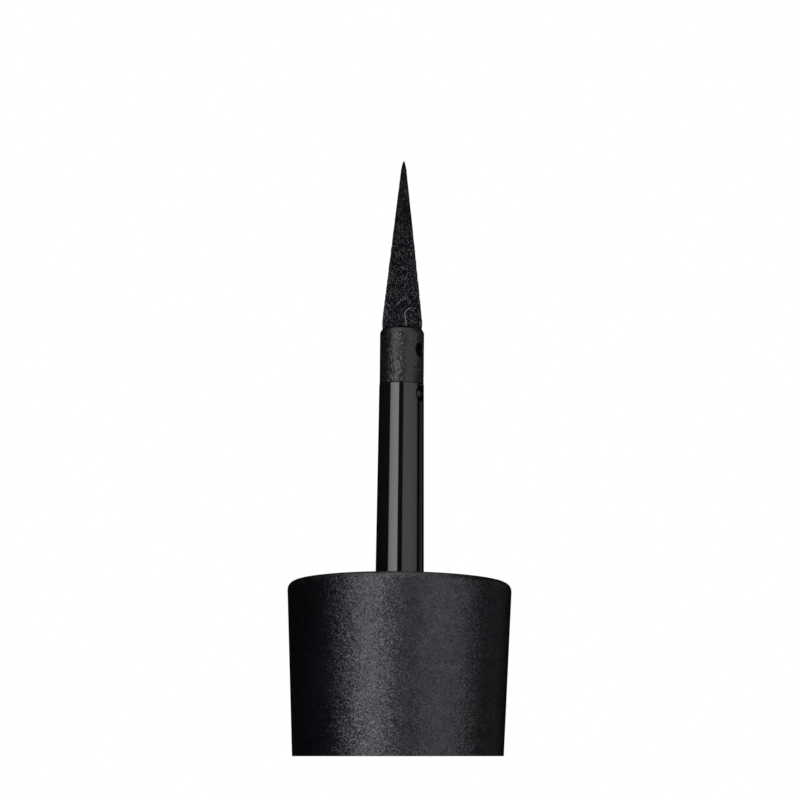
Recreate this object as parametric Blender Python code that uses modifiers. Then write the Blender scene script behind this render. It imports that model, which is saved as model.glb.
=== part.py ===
"""Liquid eyeliner: a bottle with a wiper in its screw neck, and its cap-applicator standing tip up beside it.

Units are metres, +Z is up, and both halves stand on z = 0. The origin lies midway between their two axes.
"""

import math

import bmesh
import bpy
from mathutils import Matrix, Vector

# Distance between the two halves as they stand
AXIS_SPACING = 0.0460

# Clearances
PRESS_GAP = 0.00005
SEAT_GAP = 0.0001
CLOSED_GAP = 0.0003
FELT_GAP = 0.00004

# Nib of felt
NIB_LENGTH = 0.01287
NIB_BASE_DIAMETER = 0.00296
NIB_BASE_LENGTH = 0.0011
NIB_TIP_DIAMETER = 0.00038
NIB_TIP_LENGTH = 0.0007
NIB_SHANK_LENGTH = 0.0034
NIB_SHANK_CHAMFER = 0.0002

# Ferrule, which holds the nib and snaps into the stem
FERRULE_LENGTH = 0.00411
FERRULE_DIAMETER = 0.00335
FERRULE_WALL = 0.00036
FERRULE_CHAMFER = 0.00014
FERRULE_CHAMFER_HEIGHT = 0.00026
PORT_DIAMETER = 0.00109
PORT_ABOVE_SEAM = 0.00251
SPIGOT_LENGTH = 0.0034
SPIGOT_WALL = 0.0003
BOSS_DIAMETER = 0.0008
BOSS_HEIGHT = 0.00028
BOSS_SINK = 0.00015

# Wick behind the nib
WICK_LENGTH = 0.0072

# Stem
STEM_REACH = 0.01525
STEM_TIP_DIAMETER = 0.00339
STEM_DRAFT = 0.0095
STEM_BORE_DIAMETER = 0.00234
STEM_BORE_DEPTH = 0.0092
WINDOW_DIAMETER = 0.00115
WINDOW_BELOW_SEAM = 0.00085
WINDOW_BEARING = math.radians(-30)
COLLAR_DIAMETER = 0.0058
COLLAR_THICKNESS = 0.0008
STEM_PLUG_DIAMETER = 0.0032
STEM_PLUG_LENGTH = 0.0066
BARB_COUNT = 3
BARB_HEIGHT = 0.00012
BARB_PITCH = 0.0016
BARB_LENGTH = 0.0010

# Screw thread, right-handed, on the neck and in the inner cap
THREAD_PITCH = 0.0025
THREAD_TURNS = 1.5
THREAD_DEPTH = 0.0006
THREAD_CLEARANCE = 0.0002
THREAD_ROOT_WIDTH = 0.0011
THREAD_CREST_WIDTH = 0.0005
THREAD_ROOTING = 0.00025
THREAD_RUN_OUT = 0.15
THREAD_END_SINK = 0.00012
NECK_THREAD_BELOW_LIP = 0.0018
CAP_THREAD_BELOW_MOUTH = 0.0030

# Neck of the vial
NECK_BORE_DIAMETER = 0.0070
NECK_WALL = 0.0012
NECK_BEAD_HEIGHT = 0.0008
LIP_CHAMFER = 0.0002

# Inner cap, a threaded liner pressed into the cap shell
INNER_CAP_RECESS = 0.0008
INNER_CAP_WALL = 0.0012
INNER_CAP_PLATE = 0.0015
INNER_CAP_CHAMFER = 0.0003
WELL_DEPTH = 0.0115
RIB_COUNT = 12
RIB_HEIGHT = 0.00015
RIB_WIDTH = 0.0007
RIB_ROOTING = 0.0003
RIB_MARGIN = 0.0012
SOCKET_LENGTH = 0.0072
SOCKET_WALL = 0.0012

# Seal ring round the stem's collar
SEAL_THICKNESS = 0.0010
SEAL_INNER_GAP = 0.0002
SEAL_OUTER_GAP = 0.0003

# Cap shell, closed end down
CAP_LENGTH = 0.0520
CAP_MOUTH_WALL = 0.0016
CAP_SIDE_TAPER = 0.0377
CAP_WALL = 0.0013
CAP_FLOOR = 0.0016
CAP_END_EDGE_RADIUS = 0.0009
RIM_EDGE_RADIUS = 0.0006
RIM_CHAMFER = 0.0002
LEDGE_WIDTH = 0.0009

# Casing of the bottle, and the plug that closes its base
BOTTLE_HEIGHT = 0.0420
CASING_WALL = 0.0013
CASING_FLANGE = 0.0014
CASING_BASE_EDGE_RADIUS = 0.0005
PLUG_THICKNESS = 0.0025
PLUG_RECESS = 0.0003
PLUG_CHAMFER = 0.0003

# Vial, below its neck
VIAL_WALL = 0.0012
VIAL_FLOOR = 0.0014
VIAL_FLOOR_RADIUS = 0.0010
VIAL_EDGE_CHAMFER = 0.0004
VIAL_SHOULDER_LENGTH = 0.0034

# Wiper
WIPER_FLANGE_INSET = 0.0003
WIPER_FLANGE_THICKNESS = 0.0007
WIPER_WALL = 0.0005
WIPER_TUBE_LENGTH = 0.0055
WIPER_FUNNEL_LENGTH = 0.0024
WIPER_LIP_LENGTH = 0.0009
WIPER_LIP_WALL = 0.0003
WIPE_CLEARANCE = 0.00004

# Agitator balls
BALL_DIAMETER = 0.0036
BALL_SPACING = 0.0006

# Facets
SHELL_STEPS = 64
LINER_STEPS = 32
ROD_STEPS = 24
HOLE_STEPS = 12
BALL_STEPS = 16
ARC_STEPS = 3
MERGE_DISTANCE = 1e-6

# Radii, worked outwards from the neck's bore
NECK_BORE_RADIUS = NECK_BORE_DIAMETER / 2
NECK_CORE_RADIUS = NECK_BORE_RADIUS + NECK_WALL
NECK_CREST_RADIUS = NECK_CORE_RADIUS + THREAD_DEPTH
WELL_RADIUS = NECK_CREST_RADIUS + THREAD_CLEARANCE
INNER_CAP_RADIUS = WELL_RADIUS + INNER_CAP_WALL
SHELL_BORE_RADIUS = INNER_CAP_RADIUS + RIB_HEIGHT + PRESS_GAP
MOUTH_RADIUS = SHELL_BORE_RADIUS + CAP_MOUTH_WALL
CASING_RADIUS = MOUTH_RADIUS
CASING_BORE_RADIUS = CASING_RADIUS - CASING_WALL
CASING_HOLE_RADIUS = NECK_CREST_RADIUS + THREAD_CLEARANCE
VIAL_RADIUS = CASING_BORE_RADIUS - SEAT_GAP
CHAMBER_RADIUS = VIAL_RADIUS - VIAL_WALL

# Radii of the stem and what it holds
STEM_BORE_RADIUS = STEM_BORE_DIAMETER / 2
SPIGOT_RADIUS = STEM_BORE_RADIUS - PRESS_GAP
SPIGOT_BORE_RADIUS = SPIGOT_RADIUS - SPIGOT_WALL
WICK_RADIUS = SPIGOT_BORE_RADIUS - FELT_GAP
FERRULE_RADIUS = FERRULE_DIAMETER / 2
FERRULE_BORE_RADIUS = FERRULE_RADIUS - FERRULE_WALL
NIB_SHANK_RADIUS = FERRULE_BORE_RADIUS - FELT_GAP
STEM_PLUG_RADIUS = STEM_PLUG_DIAMETER / 2
SOCKET_BORE_RADIUS = STEM_PLUG_RADIUS + BARB_HEIGHT + PRESS_GAP
COLLAR_RADIUS = COLLAR_DIAMETER / 2

# Heights in the cap-applicator
RIM_EDGE_Z = CAP_LENGTH - RIM_EDGE_RADIUS
INNER_CAP_MOUTH_Z = CAP_LENGTH - INNER_CAP_RECESS
WELL_FLOOR_Z = INNER_CAP_MOUTH_Z - WELL_DEPTH
INNER_CAP_END_Z = WELL_FLOOR_Z - INNER_CAP_PLATE
LEDGE_Z = INNER_CAP_END_Z - SEAT_GAP
COLLAR_Z = WELL_FLOOR_Z + SEAT_GAP
SEAL_TOP_Z = COLLAR_Z + SEAL_THICKNESS
STEM_TOP_Z = CAP_LENGTH + STEM_REACH
FERRULE_Z = STEM_TOP_Z + SEAT_GAP
FERRULE_TOP_Z = FERRULE_Z + FERRULE_LENGTH
NIB_BASE_Z = FERRULE_TOP_Z + FELT_GAP
NIB_SHANK_END_Z = NIB_BASE_Z - NIB_SHANK_LENGTH
WINDOW_Z = STEM_TOP_Z - WINDOW_BELOW_SEAM
PORT_Z = STEM_TOP_Z + PORT_ABOVE_SEAM

# Heights in the bottle. Screwed on, the cap's rim stops just above the casing as the seal meets the wiper
VIAL_BOTTOM_Z = PLUG_RECESS + PLUG_THICKNESS + SEAT_GAP
CHAMBER_FLOOR_Z = VIAL_BOTTOM_Z + VIAL_FLOOR
VIAL_TOP_Z = BOTTLE_HEIGHT - CASING_FLANGE - SEAT_GAP
CHAMBER_TOP_Z = VIAL_TOP_Z - VIAL_WALL
CLOSED_RIM_Z = BOTTLE_HEIGHT + CLOSED_GAP
WIPER_TOP_Z = CLOSED_RIM_Z + CAP_LENGTH - SEAL_TOP_Z - PRESS_GAP
NECK_LIP_Z = WIPER_TOP_Z - WIPER_FLANGE_THICKNESS - PRESS_GAP
WIPER_LIP_Z = NECK_LIP_Z - WIPER_TUBE_LENGTH - WIPER_FUNNEL_LENGTH - WIPER_LIP_LENGTH


def stem_radius(z):
    """Radius of the drafted stem at a height in the applicator."""
    return STEM_TIP_DIAMETER / 2 + (STEM_TOP_Z - z) * STEM_DRAFT


def cap_radius(z):
    """Outer radius of the cap's tapered side at a height."""
    return MOUTH_RADIUS - (RIM_EDGE_Z - z) * CAP_SIDE_TAPER


def wiping_radius():
    """Radius of the wiper's lip, which clears the stem where it passes with the cap screwed on."""
    return stem_radius(CLOSED_RIM_Z + CAP_LENGTH - WIPER_LIP_Z) + WIPE_CLEARANCE


def arc(centre_r, centre_z, radius, start_degrees, end_degrees):
    """Points (r, z) of an arc in the profile plane, ends included."""
    points = []
    for i in range(ARC_STEPS + 1):
        angle = math.radians(start_degrees + (end_degrees - start_degrees) * i / ARC_STEPS)
        points.append((centre_r + radius * math.cos(angle), centre_z + radius * math.sin(angle)))
    return points


def clear_scene():
    for obj in list(bpy.data.objects):
        bpy.data.objects.remove(obj, do_unlink=True)


def new_collection(name):
    collection = bpy.data.collections.new(name)
    bpy.context.scene.collection.children.link(collection)
    return collection


def new_material(name, colour, roughness, metallic=0.0):
    material = bpy.data.materials.new(name)
    material.use_nodes = True
    shader = material.node_tree.nodes["Principled BSDF"]
    shader.inputs["Base Color"].default_value = (*colour, 1.0)
    shader.inputs["Roughness"].default_value = roughness
    shader.inputs["Metallic"].default_value = metallic
    material.diffuse_color = (*colour, 1.0)
    return material


def new_object(name, mesh, collection, parent, location=(0, 0, 0)):
    obj = bpy.data.objects.new(name, mesh)
    collection.objects.link(obj)
    obj.parent = parent
    obj.location = location
    return obj


def object_from(name, shape, collection, parent):
    """An object that holds a bmesh, which is freed."""
    mesh = bpy.data.meshes.new(name)
    shape.to_mesh(mesh)
    shape.free()
    return new_object(name, mesh, collection, parent)


def turned(name, profile, steps, collection, parent):
    """A turned solid, from a profile that runs down its outer side. One clear of the axis becomes a ring."""
    count = len(profile)
    edges = [(i, i + 1) for i in range(count - 1)]
    if profile[0][0] > 0:
        edges.append((count - 1, 0))
    mesh = bpy.data.meshes.new(name)
    mesh.from_pydata([(r, 0, z) for r, z in profile], edges, [])
    obj = new_object(name, mesh, collection, parent)
    screw = obj.modifiers.new("turn", "SCREW")
    screw.steps = steps
    screw.render_steps = steps
    screw.use_merge_vertices = True
    screw.merge_threshold = MERGE_DISTANCE
    screw.use_smooth_shade = True
    return obj


def combine(obj, tool, operation):
    tool.hide_render = True
    tool.display_type = "WIRE"
    boolean = obj.modifiers.new(tool.name, "BOOLEAN")
    boolean.operation = operation
    boolean.object = tool


def radial_rod(name, diameter, inner, outer, z, bearing, collection, parent):
    """A round rod that points away from the axis at a bearing, from one radius to another."""
    turn = Matrix.Rotation(bearing, 4, "Z")
    place = Matrix.Translation(((inner + outer) / 2, 0, z))
    tilt = Matrix.Rotation(math.pi / 2, 4, "Y")
    shape = bmesh.new()
    bmesh.ops.create_cone(
        shape,
        cap_ends=True,
        segments=HOLE_STEPS,
        radius1=diameter / 2,
        radius2=diameter / 2,
        depth=outer - inner,
        matrix=turn @ place @ tilt,
    )
    return object_from(name, shape, collection, parent)


def cross_drill(name, diameter, reach, z, collection, parent):
    """Cutter for a pair of holes that face each other across the axis, on the windows' bearing."""
    return radial_rod(name, diameter, -reach, reach, z, WINDOW_BEARING, collection, parent)


def thread_ridge(name, root, crest, start_z, collection, parent):
    """A right-handed ridge up a helix, rooted in its wall, which sinks back into the wall at both ends."""
    depth = abs(crest - root)
    outward = (crest - root) / depth
    rooted = root - outward * THREAD_ROOTING
    half_root = THREAD_ROOT_WIDTH / 2
    half_crest = THREAD_CREST_WIDTH / 2
    count = round(THREAD_TURNS * LINER_STEPS)
    shape = bmesh.new()
    rings = []
    for i in range(count + 1):
        turns = THREAD_TURNS * i / count
        growth = min(1.0, min(turns, THREAD_TURNS - turns) / THREAD_RUN_OUT)
        top = root + outward * (depth * growth - THREAD_END_SINK * (1 - growth))
        turn = Matrix.Rotation(2 * math.pi * turns, 4, "Z")
        z = start_z + THREAD_PITCH * turns
        section = ((rooted, -half_root), (top, -half_crest), (top, half_crest), (rooted, half_root))
        rings.append([shape.verts.new(turn @ Vector((r, 0, z + rise))) for r, rise in section])
    for lower, upper in zip(rings, rings[1:]):
        for j, vert in enumerate(lower):
            k = (j + 1) % len(lower)
            shape.faces.new((vert, upper[j], upper[k], lower[k]))
    shape.faces.new(rings[0])
    shape.faces.new(rings[-1])
    bmesh.ops.recalc_face_normals(shape, faces=shape.faces)
    return object_from(name, shape, collection, parent)


def grip_ribs(name, collection, parent):
    """Upright ribs round the inner cap, which bite into the shell's bore."""
    inner = INNER_CAP_RADIUS - RIB_ROOTING
    outer = INNER_CAP_RADIUS + RIB_HEIGHT
    low = INNER_CAP_END_Z + RIB_MARGIN
    high = INNER_CAP_MOUTH_Z - RIB_MARGIN
    place = Matrix.Translation(((inner + outer) / 2, 0, (low + high) / 2))
    size = Matrix.Diagonal((outer - inner, RIB_WIDTH, high - low, 1))
    shape = bmesh.new()
    for i in range(RIB_COUNT):
        turn = Matrix.Rotation(2 * math.pi * i / RIB_COUNT, 4, "Z")
        bmesh.ops.create_cube(shape, size=1.0, matrix=turn @ place @ size)
    return object_from(name, shape, collection, parent)


def make_cap_shell(parts, parent):
    """Tapered outer cap, hollow below the ledge that the inner cap sits on."""
    end_radius = cap_radius(CAP_END_EDGE_RADIUS)
    profile = [
        (0, CAP_FLOOR),
        (cap_radius(CAP_FLOOR) - CAP_WALL, CAP_FLOOR),
        (SHELL_BORE_RADIUS - LEDGE_WIDTH, LEDGE_Z),
        (SHELL_BORE_RADIUS, LEDGE_Z),
        (SHELL_BORE_RADIUS, CAP_LENGTH - RIM_CHAMFER),
        (SHELL_BORE_RADIUS + RIM_CHAMFER, CAP_LENGTH),
        *arc(MOUTH_RADIUS - RIM_EDGE_RADIUS, RIM_EDGE_Z, RIM_EDGE_RADIUS, 90, 0),
        *arc(end_radius - CAP_END_EDGE_RADIUS, CAP_END_EDGE_RADIUS, CAP_END_EDGE_RADIUS, 0, -90),
        (0, 0),
    ]
    return turned("cap_shell", profile, SHELL_STEPS, parts, parent)


def make_inner_cap(parts, tools, parent):
    """Threaded well for the bottle's neck, with the socket behind it that grips the stem's plug."""
    socket_radius = SOCKET_BORE_RADIUS + SOCKET_WALL
    socket_end = INNER_CAP_END_Z - SOCKET_LENGTH
    profile = [
        (WELL_RADIUS + INNER_CAP_CHAMFER, INNER_CAP_MOUTH_Z),
        (INNER_CAP_RADIUS - INNER_CAP_CHAMFER, INNER_CAP_MOUTH_Z),
        (INNER_CAP_RADIUS, INNER_CAP_MOUTH_Z - INNER_CAP_CHAMFER),
        (INNER_CAP_RADIUS, INNER_CAP_END_Z),
        (socket_radius, INNER_CAP_END_Z),
        (socket_radius, socket_end),
        (SOCKET_BORE_RADIUS, socket_end),
        (SOCKET_BORE_RADIUS, WELL_FLOOR_Z),
        (WELL_RADIUS, WELL_FLOOR_Z),
        (WELL_RADIUS, INNER_CAP_MOUTH_Z - INNER_CAP_CHAMFER),
    ]
    inner_cap = turned("inner_cap", profile, LINER_STEPS, parts, parent)
    crest = NECK_CORE_RADIUS + THREAD_CLEARANCE
    start = INNER_CAP_MOUTH_Z - CAP_THREAD_BELOW_MOUTH - THREAD_PITCH * THREAD_TURNS
    combine(inner_cap, thread_ridge("inner_cap_thread", WELL_RADIUS, crest, start, tools, parent), "UNION")
    combine(inner_cap, grip_ribs("inner_cap_ribs", tools, parent), "UNION")
    return inner_cap


def make_seal_ring(parts, parent):
    """Flat ring in the well's floor, which closes on the wiper's flange."""
    inner = COLLAR_RADIUS + SEAL_INNER_GAP
    outer = WELL_RADIUS - SEAL_OUTER_GAP
    profile = [(inner, SEAL_TOP_Z), (outer, SEAL_TOP_Z), (outer, COLLAR_Z), (inner, COLLAR_Z)]
    return turned("seal_ring", profile, LINER_STEPS, parts, parent)


def make_stem(parts, tools, parent):
    """Drafted stem with a barbed plug below its collar, and a bore at its top for the ferrule's spigot."""
    collar_top = COLLAR_Z + COLLAR_THICKNESS
    plug_end = COLLAR_Z - STEM_PLUG_LENGTH
    profile = [
        (0, STEM_TOP_Z - STEM_BORE_DEPTH),
        (STEM_BORE_RADIUS, STEM_TOP_Z - STEM_BORE_DEPTH),
        (STEM_BORE_RADIUS, STEM_TOP_Z),
        (stem_radius(STEM_TOP_Z), STEM_TOP_Z),
        (stem_radius(collar_top), collar_top),
        (COLLAR_RADIUS, collar_top),
        (COLLAR_RADIUS, COLLAR_Z),
        (STEM_PLUG_RADIUS, COLLAR_Z),
    ]
    for i in range(BARB_COUNT):
        shoulder = COLLAR_Z - BARB_PITCH * (i + 1) + BARB_LENGTH / 2
        profile.append((STEM_PLUG_RADIUS, shoulder))
        profile.append((STEM_PLUG_RADIUS + BARB_HEIGHT, shoulder))
        profile.append((STEM_PLUG_RADIUS, shoulder - BARB_LENGTH))
    profile += [(STEM_PLUG_RADIUS - BARB_HEIGHT, plug_end), (0, plug_end)]
    stem = turned("stem", profile, ROD_STEPS, parts, parent)
    drill = cross_drill("window_drill", WINDOW_DIAMETER, STEM_TIP_DIAMETER, WINDOW_Z, tools, parent)
    combine(stem, drill, "DIFFERENCE")
    return stem


def make_ferrule(parts, tools, parent):
    """Sleeve round the nib's shank, with feed ports and a spigot whose bosses snap into the stem's windows."""
    spigot_end = STEM_TOP_Z - SPIGOT_LENGTH
    floor = NIB_SHANK_END_Z - FELT_GAP
    profile = [
        (FERRULE_BORE_RADIUS, FERRULE_TOP_Z),
        (FERRULE_RADIUS - FERRULE_CHAMFER, FERRULE_TOP_Z),
        (FERRULE_RADIUS, FERRULE_TOP_Z - FERRULE_CHAMFER_HEIGHT),
        (FERRULE_RADIUS, FERRULE_Z),
        (SPIGOT_RADIUS, FERRULE_Z),
        (SPIGOT_RADIUS, spigot_end),
        (SPIGOT_BORE_RADIUS, spigot_end),
        (SPIGOT_BORE_RADIUS, floor),
        (FERRULE_BORE_RADIUS, floor),
    ]
    ferrule = turned("nib_ferrule", profile, ROD_STEPS, parts, parent)
    drill = cross_drill("port_drill", PORT_DIAMETER, FERRULE_DIAMETER, PORT_Z, tools, parent)
    combine(ferrule, drill, "DIFFERENCE")
    inner = SPIGOT_RADIUS - BOSS_SINK
    outer = SPIGOT_RADIUS + BOSS_HEIGHT
    for i in range(2):
        bearing = WINDOW_BEARING + math.pi * i
        boss = radial_rod(f"snap_boss_{i + 1}", BOSS_DIAMETER, inner, outer, WINDOW_Z, bearing, tools, parent)
        combine(ferrule, boss, "UNION")
    return ferrule


def make_felt_nib(parts, parent):
    """Cone of felt on a short straight base, with a rounded tip and a shank that fills the ferrule."""
    base = NIB_BASE_DIAMETER / 2
    dome_z = NIB_BASE_Z + NIB_LENGTH - NIB_TIP_LENGTH
    profile = [(0, dome_z + NIB_TIP_LENGTH)]
    for i in range(1, ARC_STEPS + 1):
        angle = math.pi / 2 * (1 - i / ARC_STEPS)
        radius = NIB_TIP_DIAMETER / 2 * math.cos(angle)
        profile.append((radius, dome_z + NIB_TIP_LENGTH * math.sin(angle)))
    profile += [
        (base, NIB_BASE_Z + NIB_BASE_LENGTH),
        (base, NIB_BASE_Z),
        (NIB_SHANK_RADIUS, NIB_BASE_Z),
        (NIB_SHANK_RADIUS, NIB_SHANK_END_Z + NIB_SHANK_CHAMFER),
        (NIB_SHANK_RADIUS - NIB_SHANK_CHAMFER, NIB_SHANK_END_Z),
        (0, NIB_SHANK_END_Z),
    ]
    return turned("felt_nib", profile, ROD_STEPS, parts, parent)


def make_wick(parts, parent):
    """Fibre rod that meets the nib's shank through the ferrule's floor."""
    top = NIB_SHANK_END_Z - FELT_GAP
    bottom = top - WICK_LENGTH
    profile = [(0, top), (WICK_RADIUS, top), (WICK_RADIUS, bottom), (0, bottom)]
    return turned("feed_wick", profile, ROD_STEPS, parts, parent)


def make_casing(parts, parent):
    """Outer tube of the bottle, open below, with a flange on top that the neck comes through."""
    base_edge = CASING_BASE_EDGE_RADIUS
    profile = [
        (CASING_HOLE_RADIUS, BOTTLE_HEIGHT),
        *arc(CASING_RADIUS - RIM_EDGE_RADIUS, BOTTLE_HEIGHT - RIM_EDGE_RADIUS, RIM_EDGE_RADIUS, 90, 0),
        *arc(CASING_RADIUS - base_edge, base_edge, base_edge, 0, -90),
        (CASING_BORE_RADIUS, 0),
        (CASING_BORE_RADIUS, BOTTLE_HEIGHT - CASING_FLANGE),
        (CASING_HOLE_RADIUS, BOTTLE_HEIGHT - CASING_FLANGE),
    ]
    return turned("bottle_casing", profile, SHELL_STEPS, parts, parent)


def make_base_plug(parts, parent):
    """Disc pressed into the casing's open base, a little above what the bottle stands on."""
    radius = CASING_BORE_RADIUS - PRESS_GAP
    top = PLUG_RECESS + PLUG_THICKNESS
    profile = [
        (0, top),
        (radius - PLUG_CHAMFER, top),
        (radius, top - PLUG_CHAMFER),
        (radius, PLUG_RECESS + PLUG_CHAMFER),
        (radius - PLUG_CHAMFER, PLUG_RECESS),
        (0, PLUG_RECESS),
    ]
    return turned("base_plug", profile, SHELL_STEPS, parts, parent)


def make_vial(parts, tools, parent):
    """Vessel for the ink, with a bead that centres it in the casing's flange and a threaded neck."""
    corner = CHAMBER_RADIUS - VIAL_FLOOR_RADIUS
    bead_radius = CASING_HOLE_RADIUS - SEAT_GAP
    bead_top = BOTTLE_HEIGHT + NECK_BEAD_HEIGHT
    profile = [
        (0, CHAMBER_FLOOR_Z),
        *arc(corner, CHAMBER_FLOOR_Z + VIAL_FLOOR_RADIUS, VIAL_FLOOR_RADIUS, -90, 0),
        (CHAMBER_RADIUS, CHAMBER_TOP_Z - VIAL_SHOULDER_LENGTH),
        (NECK_BORE_RADIUS, CHAMBER_TOP_Z),
        (NECK_BORE_RADIUS, NECK_LIP_Z),
        (NECK_CORE_RADIUS - LIP_CHAMFER, NECK_LIP_Z),
        (NECK_CORE_RADIUS, NECK_LIP_Z - LIP_CHAMFER),
        (NECK_CORE_RADIUS, bead_top),
        (bead_radius, bead_top),
        (bead_radius, VIAL_TOP_Z),
        (VIAL_RADIUS - VIAL_EDGE_CHAMFER, VIAL_TOP_Z),
        (VIAL_RADIUS, VIAL_TOP_Z - VIAL_EDGE_CHAMFER),
        (VIAL_RADIUS, VIAL_BOTTOM_Z + VIAL_EDGE_CHAMFER),
        (VIAL_RADIUS - VIAL_EDGE_CHAMFER, VIAL_BOTTOM_Z),
        (0, VIAL_BOTTOM_Z),
    ]
    vial = turned("ink_vial", profile, LINER_STEPS, parts, parent)
    start = NECK_LIP_Z - NECK_THREAD_BELOW_LIP - THREAD_PITCH * THREAD_TURNS
    thread = thread_ridge("neck_thread", NECK_CORE_RADIUS, NECK_CREST_RADIUS, start, tools, parent)
    combine(vial, thread, "UNION")
    return vial


def make_wiper(parts, parent):
    """Plug in the neck with a flange on the lip, and a funnel down to the bore that wipes the stem."""
    outer = NECK_BORE_RADIUS - PRESS_GAP
    inner = outer - WIPER_WALL
    flange = NECK_CORE_RADIUS - WIPER_FLANGE_INSET
    flange_z = WIPER_TOP_Z - WIPER_FLANGE_THICKNESS
    funnel_z = NECK_LIP_Z - WIPER_TUBE_LENGTH
    lip_top = WIPER_LIP_Z + WIPER_LIP_LENGTH
    wiping = wiping_radius()
    profile = [
        (inner, WIPER_TOP_Z),
        (flange, WIPER_TOP_Z),
        (flange, flange_z),
        (outer, flange_z),
        (outer, funnel_z),
        (wiping + WIPER_LIP_WALL, lip_top),
        (wiping + WIPER_LIP_WALL, WIPER_LIP_Z),
        (wiping, WIPER_LIP_Z),
        (wiping, lip_top),
        (inner, funnel_z),
    ]
    return turned("wiper", profile, LINER_STEPS, parts, parent)


def make_balls(parts, parent):
    """Two steel balls side by side on the vial's floor, which stir the ink when the bottle is shaken."""
    radius = BALL_DIAMETER / 2
    shape = bmesh.new()
    bmesh.ops.create_uvsphere(shape, u_segments=BALL_STEPS, v_segments=BALL_STEPS // 2, radius=radius)
    offset = radius + BALL_SPACING / 2
    height = CHAMBER_FLOOR_Z + SEAT_GAP + radius
    left = object_from("agitator_ball_left", shape, parts, parent)
    left.location = (-offset, 0, height)
    right = new_object("agitator_ball_right", left.data, parts, parent, (offset, 0, height))
    return left, right


def finish(obj, material):
    obj.data.materials.clear()
    obj.data.materials.append(material)
    obj.data.shade_smooth()


def main():
    clear_scene()
    parts = new_collection("liquid_eyeliner")
    tools = new_collection("boolean_tools")
    applicator = new_object("applicator_axis", None, parts, None, (-AXIS_SPACING / 2, 0, 0))
    bottle = new_object("bottle_axis", None, parts, None, (AXIS_SPACING / 2, 0, 0))

    matte_black = new_material("matte_black_shell", (0.010, 0.010, 0.014), 0.62)
    black_liner = new_material("black_liner", (0.012, 0.012, 0.013), 0.40)
    gloss_black = new_material("gloss_black_stem", (0.006, 0.006, 0.007), 0.12)
    satin_black = new_material("satin_black_ferrule", (0.012, 0.012, 0.012), 0.38)
    black_felt = new_material("black_felt", (0.010, 0.010, 0.010), 0.95)
    grey_rubber = new_material("grey_rubber", (0.09, 0.09, 0.09), 0.80)
    inked_plastic = new_material("inked_plastic", (0.03, 0.03, 0.032), 0.30)
    wiper_plastic = new_material("soft_wiper_plastic", (0.25, 0.25, 0.24), 0.50)
    steel = new_material("steel", (0.62, 0.62, 0.62), 0.20, 1.0)

    finish(make_cap_shell(parts, applicator), matte_black)
    finish(make_inner_cap(parts, tools, applicator), black_liner)
    finish(make_seal_ring(parts, applicator), grey_rubber)
    finish(make_stem(parts, tools, applicator), gloss_black)
    finish(make_ferrule(parts, tools, applicator), satin_black)
    finish(make_felt_nib(parts, applicator), black_felt)
    finish(make_wick(parts, applicator), black_felt)
    finish(make_casing(parts, bottle), matte_black)
    finish(make_base_plug(parts, bottle), black_liner)
    finish(make_vial(parts, tools, bottle), inked_plastic)
    finish(make_wiper(parts, bottle), wiper_plastic)
    for ball in make_balls(parts, bottle):
        finish(ball, steel)


main()
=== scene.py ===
"""Finishes a liquid eyeliner: its cap-applicator, standing tip up, and the bottle that stands beside it.

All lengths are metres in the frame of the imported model. Radii are measured from the axis of the half that a
piece belongs to, heights from the surface that both halves stand on, and bearings round +Z, with 0 towards
the camera and positive to the right of the picture.
"""

import sys
import logging
import random
from collections.abc import Callable, Sequence
from dataclasses import dataclass
from enum import Enum
from functools import cache
from math import atan2, ceil, copysign, cos, exp, hypot, pi, radians, sin, sqrt

import bmesh
import bpy
from bmesh.types import BMEdge, BMesh, BMVert
from bpy.types import (
    AreaLight, Curve, Material, MeshPolygon, Node, NodeOutputs, NodeSocket, NodeTree, Object,
)
from mathutils import Matrix, Vector, noise


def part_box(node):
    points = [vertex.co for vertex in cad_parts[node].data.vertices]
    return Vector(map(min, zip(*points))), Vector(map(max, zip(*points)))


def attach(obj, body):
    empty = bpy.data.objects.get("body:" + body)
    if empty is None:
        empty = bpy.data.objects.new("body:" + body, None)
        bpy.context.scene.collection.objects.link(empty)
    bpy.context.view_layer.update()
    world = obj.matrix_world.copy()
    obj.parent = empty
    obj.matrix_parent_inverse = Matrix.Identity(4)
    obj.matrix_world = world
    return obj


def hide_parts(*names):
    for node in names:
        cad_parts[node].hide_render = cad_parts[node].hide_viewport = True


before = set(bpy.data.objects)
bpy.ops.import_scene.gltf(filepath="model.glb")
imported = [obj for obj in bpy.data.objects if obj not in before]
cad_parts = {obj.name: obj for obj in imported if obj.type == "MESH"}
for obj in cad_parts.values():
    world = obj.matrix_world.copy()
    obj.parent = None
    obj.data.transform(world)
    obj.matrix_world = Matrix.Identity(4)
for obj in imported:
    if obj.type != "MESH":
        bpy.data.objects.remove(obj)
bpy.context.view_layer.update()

LOG = logging.getLogger("liquid_eyeliner")
MERGE_DISTANCE = 1e-7
SHARP_ANGLE = radians(35)
PICTURE_PIXELS = 800
PRESS_GAP = 0.00005

Colour = tuple[float, float, float]
Value = float | Sequence[float] | NodeSocket

# A corner of a turned profile: its radius, its height and, where it is rounded, the rounding's radius.
Corner = tuple[float, ...]


class Body(Enum):
    """Bodies of the frame that the pieces ride on."""

    BOTTLE = "bottle"
    APPLICATOR = "applicator"
    BALL_LEFT = "ball_left"
    BALL_RIGHT = "ball_right"


class Slot(Enum):
    """Names of material slots."""

    MATTE_SHELL = "matte_shell"
    LINER = "black_liner"
    SEAL = "seal_rubber"
    STEM = "gloss_stem"
    FERRULE = "satin_ferrule"
    FELT = "black_felt"
    VIAL = "inked_vial"
    WIPER = "wiper_plastic"
    STEEL = "ball_steel"


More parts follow.
